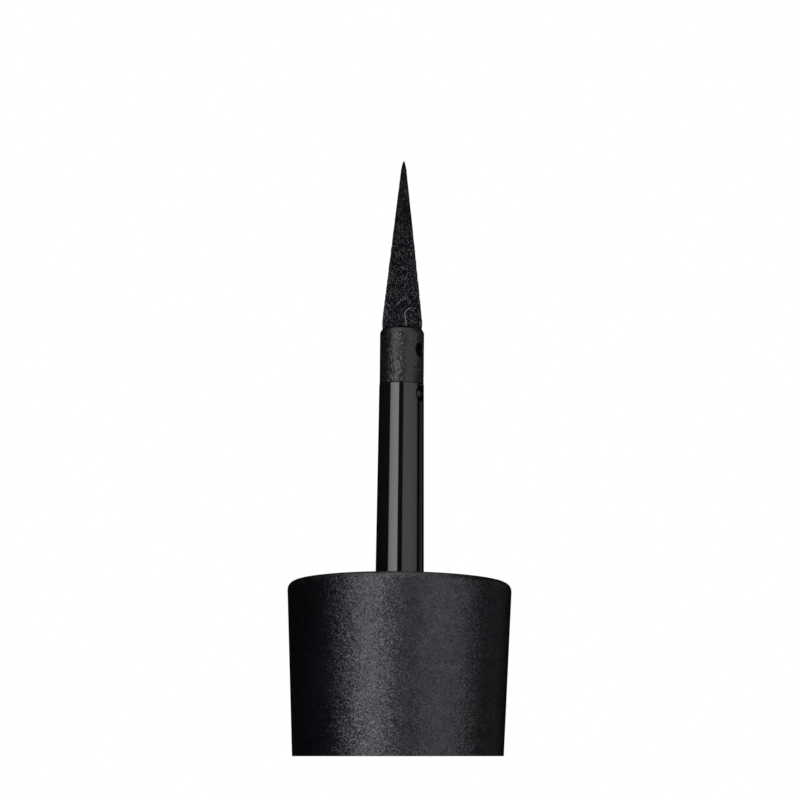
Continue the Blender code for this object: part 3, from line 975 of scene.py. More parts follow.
@dataclass
class CapHandle:
    """The cap that is the handle: a painted shell, its threaded liner and the seal in the liner's well."""

    side_taper: float = 0.0377
    rim_rounding: float = 0.0006
    end_rounding: float = 0.0009
    mouth_chamfer: float = 0.0002
    floor: float = 0.0016
    wall: float = 0.0013
    ledge_width: float = 0.0009
    ledge_below_rim: float = 0.0139
    liner_wall: float = 0.0012
    liner_chamfer: float = 0.0003
    well_depth: float = 0.0115
    plate: float = 0.0015
    rib_count: int = 12
    rib_height: float = 0.00015
    rib_width: float = 0.0007
    rib_margin: float = 0.0012
    socket_wall: float = 0.0012
    socket_bore: float = 0.00177
    thread_below_mouth: float = 0.0030
    seal_width: float = 0.0021
    shell_steps: int = 192
    liner_steps: int = 128
    thread: Thread = Thread()
    shell: Stand = Stand.of("cap_shell")
    liner: Stand = Stand.of("inner_cap")
    seal: Stand = Stand.of("seal_ring")

    def side_radius(self, z: float) -> float:
        """Radius of the shell's tapered side at a height."""
        return self.shell.radius - (self.shell.high - self.rim_rounding - z) * self.side_taper

    def build_shell(self) -> Object:
        """Turns the shell, painted outside and bare inside.

        Returns:
            The shell.
        """
        bore = self.liner.radius + PRESS_GAP
        top = self.shell.high
        ledge_z = top - self.ledge_below_rim
        corners = [
            (0, self.floor),
            (self.side_radius(self.floor) - self.wall, self.floor, Edge.BROAD),
            (bore - self.ledge_width, ledge_z, Edge.PLAIN),
            (bore, ledge_z),
            (bore, top - self.mouth_chamfer),
            (bore + self.mouth_chamfer, top, Edge.SMALL),
            (self.side_radius(top), top, self.rim_rounding),
            (self.side_radius(0), 0, self.end_rounding),
            (0, 0),
        ]
        shape = turned(corners, self.shell.axis_x, self.shell_steps)
        finishes = (MattePaint("matte_cap_paint", rub_height=top), BARE_SHELL)
        piece = add_piece("cap_outer_shell", shape, Body.APPLICATOR, Slot.MATTE_SHELL, finishes, "cap_shell")
        bare_radius = bore + self.mouth_chamfer / 2
        mark_faces(piece, lambda face: self._is_inside(face.center, bare_radius))
        return piece

    def _is_inside(self, centre: Vector, radius: float) -> bool:
        """Whether a point of the shell is on its inner side, within a radius at its mouth."""
        reach = min(radius, self.side_radius(centre.z) - self.wall / 2)
        return centre.z > self.floor / 2 and self.shell.off_axis(centre) < reach

    def build_liner(self) -> Object:
        """Turns the threaded liner, with its ribs and the socket behind its well.

        Returns:
            The liner.
        """
        low, high = self.liner.low, self.liner.high
        outer = self.liner.radius - self.rib_height
        well = outer - self.liner_wall
        well_floor = high - self.well_depth
        end = well_floor - self.plate
        socket = self.socket_bore + self.socket_wall
        corners = [
            (well, well_floor, Edge.ROUND),
            (well, high - self.liner_chamfer, Edge.PLAIN),
            (well + self.liner_chamfer, high, Edge.SMALL),
            (outer, high, self.liner_chamfer),
            (outer, end, Edge.PLAIN),
            (socket, end, Edge.ROUND),
            (socket, low, Edge.SOFT),
            (self.socket_bore, low, Edge.PLAIN),
            (self.socket_bore, well_floor, Edge.PLAIN),
        ]
        axis_x = self.liner.axis_x
        shape = turned(corners, axis_x, self.liner_steps)
        top_z = high - self.thread_below_mouth
        add_shape(shape, self.thread.ridge(axis_x, well, well - self.thread.height, top_z))
        for i in range(self.rib_count):
            add_shape(shape, self._rib(2 * pi * i / self.rib_count, outer, end))
        return add_piece(
            "threaded_cap_liner", shape, Body.APPLICATOR, Slot.LINER, (BLACK_LINER,), "inner_cap"
        )

    def _rib(self, bearing: float, outer: float, end: float) -> BMesh:
        """An upright rib that grips the shell's bore.

        Args:
            bearing: Where it stands round the liner.
            outer: Radius of the liner's wall.
            end: Height of the liner's plate.

        Returns:
            The rib, rooted in the wall.
        """
        low = end + self.rib_margin
        high = self.liner.high - self.rib_margin
        depth = self.rib_height * 2
        size = Matrix.Diagonal((self.rib_width, depth, high - low, 1))
        place = Matrix.Translation((0, -(outer + self.rib_height - depth / 2), (low + high) / 2))
        stand = Matrix.Translation((self.liner.axis_x, 0, 0)) @ Matrix.Rotation(bearing, 4, "Z")
        shape = bmesh.new()
        bmesh.ops.create_cube(shape, size=1.0, matrix=stand @ place @ size)
        round_edges(shape, shape.edges[:], Edge.FINE, 2)
        return shape

    def build_seal(self) -> Object:
        """Turns the soft ring that closes on the neck.

        Returns:
            The ring.
        """
        corners = self.seal.block(Edge.SOFT, self.seal.radius - self.seal_width)
        shape = turned(corners, self.seal.axis_x, self.liner_steps)
        rubber = Rubber("grey_seal_rubber", (0.085, 0.085, 0.085), specular=0.3)
        return add_piece("well_seal_ring", shape, Body.APPLICATOR, Slot.SEAL, (rubber,), "seal_ring")

    def build(self) -> list[Object]:
        """Builds the handle's three pieces."""
        return [self.build_shell(), self.build_liner(), self.build_seal()]


@dataclass(frozen=True)
class StrayFibre:
    """A loose fibre on the nib: it rises straight and then curls, all on the felt's surface."""

    bearing_degrees: float
    above_base: float
    heading: float
    straight: float
    curl: float
    curl_radius: float
    radius: float = 0.000014
    kink: float = 0.0
    lift: float = 0.000090


@dataclass
class ApplicatorTip:
    """The stem, the ferrule that snaps into it, and the felt nib and wick that the ferrule holds."""

    stem_tip_radius: float = 0.001695
    stem_draft: float = 0.0095
    stem_bore: float = 0.00117
    stem_bore_depth: float = 0.0092
    collar_height: float = 0.0066
    collar_thickness: float = 0.0008
    plug_radius: float = 0.0016
    barb_count: int = 3
    barb_height: float = 0.00012
    barb_pitch: float = 0.0016
    barb_length: float = 0.0010
    window_radius: float = 0.000575
    window_bevel: float = 0.00003
    window_below_seam: float = 0.00085
    port_radius: float = 0.00053
    port_bevel: float = 0.00011
    port_above_seam: float = 0.00251
    hole_bearing: float = radians(60)
    hole_rings: int = 12
    hole_ring_reach: float = 1.3
    hole_ring_pitch: float = 0.22
    drill_reach: float = 1.5
    drill_steps: int = 48
    seat_gap: float = 0.00004
    seat_drop: float = 0.00008
    ferrule_wall: float = 0.00036
    ferrule_chamfer: float = 0.00014
    ferrule_chamfer_height: float = 0.00026
    spigot_radius: float = 0.00112
    spigot_bore: float = 0.00082
    boss_radius: float = 0.00036
    boss_height: float = 0.00051
    boss_rounding: float = 0.00028
    boss_offset: float = radians(4)
    boss_steps: int = 40
    felt_gap: float = 0.00004
    nib_slack: float = 0.00002
    nib_base_length: float = 0.0011
    nib_tip_radius: float = 0.000207
    nib_tip_length: float = 0.0007
    nib_tip_power: float = 0.6
    nib_shank_length: float = 0.0034
    shank_rings: int = 40
    felt_ring_height: float = 0.00008
    felt_steps: int = 112
    felt_lump: float = 0.00004
    felt_tip_calm: float = 0.8
    lump_sizes: tuple[float, float] = (0.00055, 0.00019)
    lump_shares: tuple[float, float] = (0.6, 0.55)
    felt_bulge: float = 0.00005
    bulge_share: float = 0.035
    strand_count: int = 4200
    strand_seed: int = 11
    strand_step: float = 0.000035
    strand_step_counts: tuple[int, ...] = (2, 2, 2, 3, 3, 4, 9)
    strand_spread: tuple[float, float] = (0.0001, 1.0)
    strand_crowding: float = 0.46
    strand_lean: float = 0.65
    strand_lean_spread: float = 0.35
    strand_bend: float = 350
    strand_wander: float = 0.05
    strand_radii: tuple[float, float] = (0.0000055, 0.000010)
    strand_tip_thinning: float = 0.2
    strand_lifts: tuple[float, float] = (0.2, 1.0)
    strand_loft: float = 0.00003
    strand_loft_power: int = 4
    strand_end_share: float = 0.45
    rod_steps: int = 96
    wick_steps: int = 64
    stem: Stand = Stand.of("stem")
    ferrule: Stand = Stand.of("nib_ferrule")
    nib: Stand = Stand.of("felt_nib")
    wick: Stand = Stand.of("feed_wick")
    stray_fibres: tuple[StrayFibre, ...] = (
        StrayFibre(11.5, 0.00008, -0.13, 0.00095, -1.05, 0.00075, 0.000021, kink=0.50),
        StrayFibre(29, 0.00125, 0.80, 0.0002, 0.4, 0.00030),
        StrayFibre(-18, 0.00164, 0.62, 0.0002, -1.0, 0.00070, 0.000010),
        StrayFibre(52, 0.00048, 2.5, 0.0002, 0.6, 0.00030),
        StrayFibre(-38, 0.00150, -0.6, 0.0002, 1.8, 0.00035, 0.000009),
        StrayFibre(150, 0.00120, 0.3, 0.0005, 1.6, 0.00030),
        StrayFibre(-120, 0.00260, -0.4, 0.0004, -1.7, 0.00035),
    )

    @property
    def felt_base_z(self) -> float:
        """Height of the felt's base, on the ferrule."""
        return self.nib.low + self.nib_shank_length - self.seat_drop

    def stem_radius(self, z: float) -> float:
        """Radius of the drafted stem at a height."""
        return self.stem_tip_radius + (self.stem.high - z) * self.stem_draft

    def _rings_past_hole(self, wall: Callable[[float], float], z: float, radius: float) -> list[Corner]:
        """Corners down a wall past a hole, close enough together for a clean cut.

        Args:
            wall: Gives the wall's radius at a height.
            z: Height of the hole.
            radius: Radius of the hole.

        Returns:
            The corners, from the top down.
        """
        top = z + radius * self.hole_ring_reach
        heights = [top - i * radius * self.hole_ring_pitch for i in range(self.hole_rings)]
        return [(wall(height), height) for height in heights]

    def _cross_drill(self, rod_radius: float, radius: float, z: float, bevel: float) -> BMesh:
        """A drill that goes right across a rod and leaves an even bevel round both mouths of its hole.

        Args:
            rod_radius: The rod's radius.
            radius: The hole's radius.
            z: Its height.
            bevel: Width and depth of the bevel.

        Returns:
            The drill.
        """
        reach = rod_radius * self.drill_reach
        wide = radius + bevel * 2
        upper = [
            (radius, rod_radius - bevel),
            (wide, rod_radius + bevel),
            (wide, reach),
            (0, reach),
        ]
        lower = [(r, -height) for r, height in reversed(upper)]
        shape = turned(lower + upper, 0, self.drill_steps)
        for vert in shape.verts:
            sag = rod_radius - sqrt(rod_radius**2 - vert.co.x**2)
            vert.co.z -= copysign(sag, vert.co.z)
        lay_across(shape, self.stem.axis_x, z, self.hole_bearing)
        return shape

    def build_stem(self) -> Object:
        """Turns the stem, bores it and opens its two windows.

        Returns:
            The stem.
        """
        low, high, axis_x = self.stem.low, self.stem.high, self.stem.axis_x
        collar_z = low + self.collar_height
        collar_top = collar_z + self.collar_thickness
        bore_end = high - self.stem_bore_depth
        window_z = high - self.window_below_seam
        seam = high - self.seat_drop
        corners = [
            (0, bore_end),
            (self.stem_bore, bore_end, Edge.DULL),
            (self.stem_bore, seam, Edge.CRISP),
            (self.stem_tip_radius, seam, Edge.SHARP),
            *self._rings_past_hole(self.stem_radius, window_z, self.window_radius),
            (self.stem_radius(collar_top), collar_top, Edge.DULL),
            (self.stem.radius, collar_top, Edge.PLAIN),
            (self.stem.radius, collar_z, Edge.PLAIN),
            (self.plug_radius, collar_z),
        ]
        for i in range(self.barb_count):
            shoulder = collar_z - self.barb_pitch * (i + 1) + self.barb_length / 2
            corners.append((self.plug_radius, shoulder))
            corners.append((self.plug_radius + self.barb_height, shoulder, Edge.KEEN))
            corners.append((self.plug_radius, shoulder - self.barb_length))
        corners.append((self.plug_radius - self.barb_height, low, Edge.PLAIN))
        corners.append((0, low))
        drill = self._cross_drill(
            self.stem_radius(window_z), self.window_radius, window_z, self.window_bevel
        )
        shape = drilled(turned(corners, axis_x, self.rod_steps), drill)
        gloss = GlossPlastic("gloss_black_stem", (0.0028, 0.0027, 0.0028))
        return add_piece("applicator_stem", shape, Body.APPLICATOR, Slot.STEM, (gloss,), "stem")

    def build_ferrule(self) -> Object:
        """Turns the ferrule with its spigot, opens its feed ports and adds the snap bosses.

        Returns:
            The ferrule.
        """
        low, radius = self.ferrule.low, self.ferrule.radius
        seam = self.stem.high
        foot = seam - self.seat_drop + self.seat_gap
        top = self.ferrule.high - self.seat_drop
        bore = radius - self.ferrule_wall
        port_z = seam + self.port_above_seam
        floor = self.nib.low - self.felt_gap
        corners = [
            (bore, top, Edge.KEEN),
            (radius - self.ferrule_chamfer, top, Edge.CRISP),
            (radius, top - self.ferrule_chamfer_height, Edge.SMALL),
            *self._rings_past_hole(lambda z: radius, port_z, self.port_radius),
            (radius, foot, Edge.SHARP),
            (self.spigot_radius, foot, Edge.CRISP),
            (self.spigot_radius, low, Edge.PLAIN),
            (self.spigot_bore, low, Edge.CRISP),
            (self.spigot_bore, floor, Edge.CRISP),
            (bore, floor),
        ]
        shape = turned(corners, self.ferrule.axis_x, self.rod_steps)
        shape = drilled(shape, self._cross_drill(radius, self.port_radius, port_z, self.port_bevel))
        for bearing in (self.hole_bearing, self.hole_bearing + pi):
            add_shape(shape, self._boss(bearing + self.boss_offset))
        satin = SatinPlastic("satin_black_ferrule", (0.0040, 0.0040, 0.0040), specular=0.40)
        return add_piece("nib_sleeve", shape, Body.APPLICATOR, Slot.FERRULE, (satin,), "nib_ferrule")

    def _boss(self, bearing: float) -> BMesh:
        """A round boss on the spigot that snaps into one of the stem's windows.

        Args:
            bearing: The way it points.

        Returns:
            The boss, rooted in the spigot's wall.
        """
        inner = self.spigot_bore + self.felt_gap
        outer = self.spigot_radius + self.boss_height
        radius = self.boss_radius
        shape = bmesh.new()
        bmesh.ops.create_cone(
            shape, cap_ends=True, segments=self.boss_steps, radius1=radius, radius2=radius,
            depth=outer - inner,
        )
        rims = [e for e in shape.edges if abs(e.verts[0].co.z - e.verts[1].co.z) < MERGE_DISTANCE]
        round_edges(shape, rims, self.boss_rounding, 6)
        z = self.stem.high - self.window_below_seam
        lay_across(shape, self.ferrule.axis_x, z, bearing, (inner + outer) / 2)
        return shape

    def felt_radius(self, z: float) -> float:
        """Radius of the felt above its base: a short straight part, a cone and a domed tip.

        Args:
            z: A height on the felt.

        Returns:
            Its radius there.
        """
        cone_z = self.felt_base_z + self.nib_base_length
        dome_z = self.nib.high - self.nib_tip_length
        if z >= dome_z:
            down = max(0.0, 1 - (z - dome_z) / self.nib_tip_length)
            return self.nib_tip_radius * down**self.nib_tip_power
        along = max(0.0, (z - cone_z) / (dome_z - cone_z))
        base = self.nib.radius - self.nib_slack
        return base + (self.nib_tip_radius - base) * along

    def _felt_push(self, place: Vector) -> float:
        """How far the felt is pushed out into lumps at a place, more near the base than at the tip.

        Args:
            place: A point of the smooth felt.

        Returns:
            The push, outwards.
        """
        share = (place.z - self.felt_base_z) / (self.nib.high - self.felt_base_z)
        coarse, fine = (noise.noise(place / size) for size in self.lump_sizes)
        lumps = self.lump_shares[0] * coarse + self.lump_shares[1] * fine
        bulge = self.felt_bulge * exp(-((share - self.bulge_share) / self.bulge_share) ** 2)
        return self.felt_lump * (1 - self.felt_tip_calm * share) * lumps + bulge

    def build_nib(self) -> Object:
        """Turns the felt and its shank, and pushes the felt's surface into lumps.

        Returns:
            The nib.
        """
        low, high, axis_x = self.nib.low, self.nib.high, self.nib.axis_x
        shank = self.ferrule.radius - self.ferrule_wall - self.felt_gap
        base_z = self.felt_base_z
        rings = round((high - base_z) / self.felt_ring_height)
        upper = [high - (high - base_z) * i / rings for i in range(1, rings)]
        lower = [base_z - self.nib_shank_length * i / self.shank_rings for i in range(1, self.shank_rings)]
        corners = [
            (0, high),
            *((self.felt_radius(z), z) for z in upper),
            (self.felt_radius(base_z), base_z, Edge.KEEN),
            (shank, base_z),
            *((shank, z) for z in lower),
            (shank, low, Edge.DULL),
            (0, low),
        ]
        shape = turned(corners, axis_x, self.felt_steps)
        for vert in shape.verts:
            out = Vector((vert.co.x - axis_x, vert.co.y, 0))
            if vert.co.z > base_z and out.length >= MERGE_DISTANCE:
                room = min(1.0, out.length / self.nib_tip_radius)
                vert.co += out.normalized() * self._felt_push(vert.co) * room
        felt = Felt("matted_black_felt", (0.0012, 0.0011, 0.0021), specular=0.03)
        return add_piece("felt_tip", shape, Body.APPLICATOR, Slot.FELT, (felt,), "felt_nib")

    def _over_felt(self, bearing: float, z: float, lift: float) -> Vector:
        """A place over the felt's lumpy surface.

        Args:
            bearing: Where round the nib.
            z: At what height.
            lift: How far off the surface.

        Returns:
            The place.
        """
        radius = self.felt_radius(z)
        push = self._felt_push(round_axis(self.nib.axis_x, radius, bearing, z))
        return round_axis(self.nib.axis_x, radius + push + lift, bearing, z)

    def build_fibres(self, name: str, finish: Strand, lay: Callable[[Curve], None]) -> Object:
        """Lays fibres on the felt's surface.

        Args:
            name: The piece's name.
            finish: Its finish.
            lay: Adds the fibres' paths to a curve.

        Returns:
            The fibres as one piece.
        """
        curve = bpy.data.curves.new("strand_paths", "CURVE")
        curve.dimensions = "3D"
        curve.bevel_depth = 1.0
        curve.bevel_resolution = 0
        curve.use_fill_caps = True
        lay(curve)
        paths = link("strand_paths", curve)
        evaluated = paths.evaluated_get(bpy.context.evaluated_depsgraph_get())
        shape = bmesh.new()
        shape.from_mesh(bpy.data.meshes.new_from_object(evaluated))
        bpy.data.objects.remove(paths)
        bmesh.ops.remove_doubles(shape, verts=shape.verts, dist=MERGE_DISTANCE)
        bmesh.ops.recalc_face_normals(shape, faces=shape.faces)
        return add_piece(name, shape, Body.APPLICATOR, Slot.FELT, (finish,))

    def _lay_strands(self, curve: Curve) -> None:
        """Adds the short winding fibres that cover the felt, each at a random place.

        Args:
            curve: The curve that gains their splines.
        """
        draw = random.Random(self.strand_seed)
        step = self.strand_step
        length = self.nib.high - self.felt_base_z
        for _ in range(self.strand_count):
            up = 1 - draw.uniform(*self.strand_spread) ** self.strand_crowding
            bearing = draw.uniform(-pi, pi)
            heading = draw.choice((-1, 1)) * draw.gauss(self.strand_lean, self.strand_lean_spread)
            bend = draw.gauss(0, self.strand_bend)
            steps = draw.choice(self.strand_step_counts)
            radius = draw.uniform(*self.strand_radii) * (1 - self.strand_tip_thinning * up)
            lift = draw.uniform(*self.strand_lifts) * radius
            lift += draw.random() ** self.strand_loft_power * self.strand_loft * (1 - up)
            lifts = [lift * sin(pi * i / steps) for i in range(steps + 1)]
            turns = [bend * step + draw.gauss(0, self.strand_wander) for _ in lifts]
            self._lay_fibre(curve, bearing, self.felt_base_z + length * up, heading, radius, lifts, turns)

    def _lay_strays(self, curve: Curve) -> None:
        """Adds the few long fibres that came loose.

        Args:
            curve: The curve that gains their splines.
        """
        step = self.strand_step
        for stray in self.stray_fibres:
            straight = round(stray.straight / step)
            count = ceil((stray.straight + abs(stray.curl) * stray.curl_radius) / step)
            curl = copysign(step / stray.curl_radius, stray.curl)
            turns = [0.0] * straight + [stray.kink] + [-curl] * (count - straight)
            bearing, z = radians(stray.bearing_degrees), self.felt_base_z + stray.above_base
            lifts = [stray.lift] * len(turns)
            self._lay_fibre(curve, bearing, z, stray.heading, stray.radius, lifts, turns)

    def _lay_fibre(self, curve: Curve, bearing: float, z: float, heading: float, radius: float,
                   lifts: Sequence[float], turns: Sequence[float]) -> None:
        """Adds a fibre that walks over the felt in small steps and thins towards both ends.

        Args:
            curve: The curve that gains its spline.
            bearing: Where round the nib it starts.
            z: At what height it starts.
            heading: The way it sets out, 0 for straight up.
            radius: Its radius in the middle.
            lifts: How far each of its points is off the felt.
            turns: How far its heading turns after each point.
        """
        spline = curve.splines.new("POLY")
        spline.points.add(len(lifts) - 1)
        lowest, highest = self.felt_base_z + radius * 2, self.nib.high - self.nib_tip_length
        for i, (point, lift, turn) in enumerate(zip(spline.points, lifts, turns)):
            swell = (1 - self.strand_end_share) * sin(pi * i / (len(lifts) - 1))
            point.radius = radius * (self.strand_end_share + swell)
            point.co = (*self._over_felt(bearing, z, lift), 1.0)
            heading += turn
            z = min(max(z + self.strand_step * cos(heading), lowest), highest)
            bearing += self.strand_step * sin(heading) / self.felt_radius(z)

    def build_wick(self) -> Object:
        """Turns the fibre rod behind the nib.

        Returns:
            The wick.
        """
        shape = turned(self.wick.block(Edge.FINE), self.wick.axis_x, self.wick_steps)
        fibre = Felt("bonded_wick_fibre", (0.006, 0.006, 0.007), relief=0.00002)
        return add_piece("feed_rod", shape, Body.APPLICATOR, Slot.FELT, (fibre,), "feed_wick")

    def build(self) -> list[Object]:
        """Builds the tip's pieces, from the stem upwards.

        Returns:
            The pieces.
        """
        matted = Strand("matted_fibres", (0.008, 0.008, 0.010))
        loose = Strand("loose_fibres", (0.12, 0.12, 0.125), pale_colour=(0.25, 0.25, 0.26))
        return [
            self.build_stem(),
            self.build_ferrule(),
            self.build_nib(),
            self.build_fibres("felt_tip_fibres", matted, self._lay_strands),
            self.build_fibres("stray_felt_fibres", loose, self._lay_strays),
            self.build_wick(),
        ]


@dataclass
class BottleBody:
    """The bottle's painted casing and the disc that closes its base."""

    wall: float = 0.0013
    flange: float = 0.0014
    hole: float = 0.0055
    rim_rounding: float = 0.0006
    base_rounding: float = 0.0005
    steps: int = 192
    casing: Stand = Stand.of("bottle_casing")
    plug: Stand = Stand.of("base_plug")

    def build_casing(self) -> Object:
        """Turns the casing, painted outside and bare inside.

        Returns:
            The casing.
        """
        radius, low, top = self.casing.radius, self.casing.low, self.casing.high
        bore = radius - self.wall
        corners = [
            (self.hole, top, Edge.PLAIN),
            (radius, top, self.rim_rounding),
            (radius, low, self.base_rounding),
            (bore, low, Edge.PLAIN),
            (bore, top - self.flange, Edge.PLAIN),
            (self.hole, top - self.flange, Edge.PLAIN),
        ]
        shape = turned(corners, self.casing.axis_x, self.steps)
        finishes = (MattePaint("matte_bottle_paint"), BARE_SHELL)
        piece = add_piece(
            "bottle_outer_casing", shape, Body.BOTTLE, Slot.MATTE_SHELL, finishes, "bottle_casing"
        )
        mark_faces(piece, lambda face: self._is_inside(face.center))
        return piece

    def _is_inside(self, centre: Vector) -> bool:
        """Whether a point of the casing is on its inner side."""
        below_flange = centre.z < self.casing.high - self.flange / 2
        return below_flange and self.casing.off_axis(centre) < self.casing.radius - self.wall / 2

    def build_plug(self) -> Object:
        """Turns the disc pressed into the base.

        Returns:
            The disc.
        """
        shape = turned(self.plug.block(Edge.ROUND), self.plug.axis_x, self.steps)
        return add_piece("bottle_base_disc", shape, Body.BOTTLE, Slot.LINER, (BLACK_LINER,), "base_plug")

    def build(self) -> list[Object]:
        """Builds the casing and its base."""
        return [self.build_casing(), self.build_plug()]


@dataclass
class InkReservoir:
    """The vial with its threaded neck, the wiper in the neck, and the two balls that stir the ink."""

    wall: float = 0.0012
    floor: float = 0.0014
    floor_rounding: float = 0.0010
    edge_rounding: float = 0.0004
    shoulder_length: float = 0.0034
    shoulder_below_lip: float = 0.01225
    neck_bore: float = 0.0035
    neck_wall: float = 0.0012
    thread_below_lip: float = 0.0018
    bead_radius: float = 0.0054
    bead_above_casing: float = 0.0008
    wiper_wall: float = 0.0005
    wiper_flange: float = 0.0007
    wiper_tube: float = 0.0055
    wiper_lip_length: float = 0.0009
    wiper_lip_wall: float = 0.0003
    wiper_ink_below_lip: float = 0.0014
    wiping_radius: float = 0.00196
    ball_subdivisions: int = 5
    steps: int = 128
    thread: Thread = Thread()
    vial: Stand = Stand.of("ink_vial")
    wiper: Stand = Stand.of("wiper")
    casing: Stand = Stand.of("bottle_casing")

    def build_vial(self) -> Object:
        """Turns the vial and winds the thread up its neck.

        Returns:
            The vial.
        """
        radius, low, lip, axis_x = self.vial.radius, self.vial.low, self.vial.high, self.vial.axis_x
        chamber = radius - self.wall
        top = lip - self.shoulder_below_lip
        inner_top = top - self.wall
        core = self.neck_bore + self.neck_wall
        bead_top = self.casing.high + self.bead_above_casing
        corners = [
            (0, low + self.floor),
            (chamber, low + self.floor, self.floor_rounding),
            (chamber, inner_top - self.shoulder_length, Edge.BROAD),
            (self.neck_bore, inner_top, Edge.BROAD),
            (self.neck_bore, lip, Edge.PLAIN),
            (core, lip, Edge.DULL),
            (core, bead_top, Edge.SOFT),
            (self.bead_radius, bead_top, Edge.EASED),
            (self.bead_radius, top, Edge.SOFT),
            (radius, top, self.edge_rounding),
            (radius, low, self.edge_rounding),
            (0, low),
        ]
        shape = turned(corners, axis_x, self.steps)
        top_z = lip - self.thread_below_lip
        add_shape(shape, self.thread.ridge(axis_x, core, core + self.thread.height, top_z))
        smoky = InkedPlastic("smoky_vial_plastic", (0.020, 0.020, 0.022), ink_level=bead_top, rub_height=lip)
        return add_piece("ink_vial_with_neck", shape, Body.BOTTLE, Slot.VIAL, (smoky,), "ink_vial")

    def build_wiper(self) -> Object:
        """Turns the wiper: a flange on the lip, a tube, and a funnel down to the lip that strips the stem.

        Returns:
            The wiper.
        """
        radius, low, high = self.wiper.radius, self.wiper.low, self.wiper.high
        outer = self.neck_bore - PRESS_GAP
        inner = outer - self.wiper_wall
        flange_z = high - self.wiper_flange
        funnel_z = self.vial.high - self.wiper_tube
        lip_top = low + self.wiper_lip_length
        lip_outer = self.wiping_radius + self.wiper_lip_wall
        corners = [
            (inner, high, Edge.EASED),
            (radius, high, Edge.SOFT),
            (radius, flange_z, Edge.SOFT),
            (outer, flange_z, Edge.SMALL),
            (outer, funnel_z, Edge.ROUND),
            (lip_outer, lip_top, Edge.DULL),
            (lip_outer, low, Edge.SMALL),
            (self.wiping_radius, low, Edge.SMALL),
            (self.wiping_radius, lip_top, Edge.DULL),
            (inner, funnel_z, Edge.ROUND),
        ]
        polymer = InkedPlastic(
            "soft_wiper_polymer",
            (0.34, 0.34, 0.33),
            ink_colour=(0.012, 0.012, 0.014),
            ink_level=high - self.wiper_ink_below_lip,
            ink_fade=0.0008,
            clean_roughness=0.42,
            inked_roughness=0.2,
            rub_height=high,
        )
        shape = turned(corners, self.wiper.axis_x, self.steps)
        return add_piece("neck_wiper", shape, Body.BOTTLE, Slot.WIPER, (polymer,), "wiper")

    def build_ball(self, node: str, body: Body) -> Object:
        """Makes one agitator ball.

        Args:
            node: The frame's node for it.
            body: The body it rides on.

        Returns:
            The ball.
        """
        ball = Stand.of(node)
        centre = Matrix.Translation((ball.axis_x, 0, (ball.low + ball.high) / 2))
        shape = bmesh.new()
        bmesh.ops.create_icosphere(
            shape, subdivisions=self.ball_subdivisions, radius=(ball.high - ball.low) / 2, matrix=centre
        )
        steel = WettedSteel("ink_wet_steel", (0.62, 0.62, 0.62), metallic=1.0)
        return add_piece(node + "_polished", shape, body, Slot.STEEL, (steel,), node)

    def build(self) -> list[Object]:
        """Builds the vial, the wiper and the balls.

        Returns:
            The pieces.
        """
        return [
            self.build_vial(),
            self.build_wiper(),
            self.build_ball("agitator_ball_left", Body.BALL_LEFT),
            self.build_ball("agitator_ball_right", Body.BALL_RIGHT),
        ]


@dataclass(frozen=True)
class SoftBox:
    """A soft lamp that faces the applicator: where it hangs, how large it is and how bright its face is."""

    name: str
    bearing_degrees: float
    elevation_degrees: float
    distance: float
    width: float
    height: float
    radiance: float
    hot_part: tuple[float, float] = (0.5, 0.5)
    fade: tuple[float, float] = (0.0, 0.0)


def facing(aim: Vector, bearing: float, elevation: float, distance: float) -> Matrix:
    """A place that looks at a point, down its own Z axis.

    Args:
        aim: The point.
        bearing: Bearing of the place, seen from the point.
        elevation: Its elevation.
        distance: Its distance.

    Returns:
        The place and its turn.
    """
    away = round_axis(0, cos(elevation), bearing, sin(elevation))
    return Matrix.Translation(aim + away * distance) @ away.to_track_quat("Z", "Y").to_matrix().to_4x4()


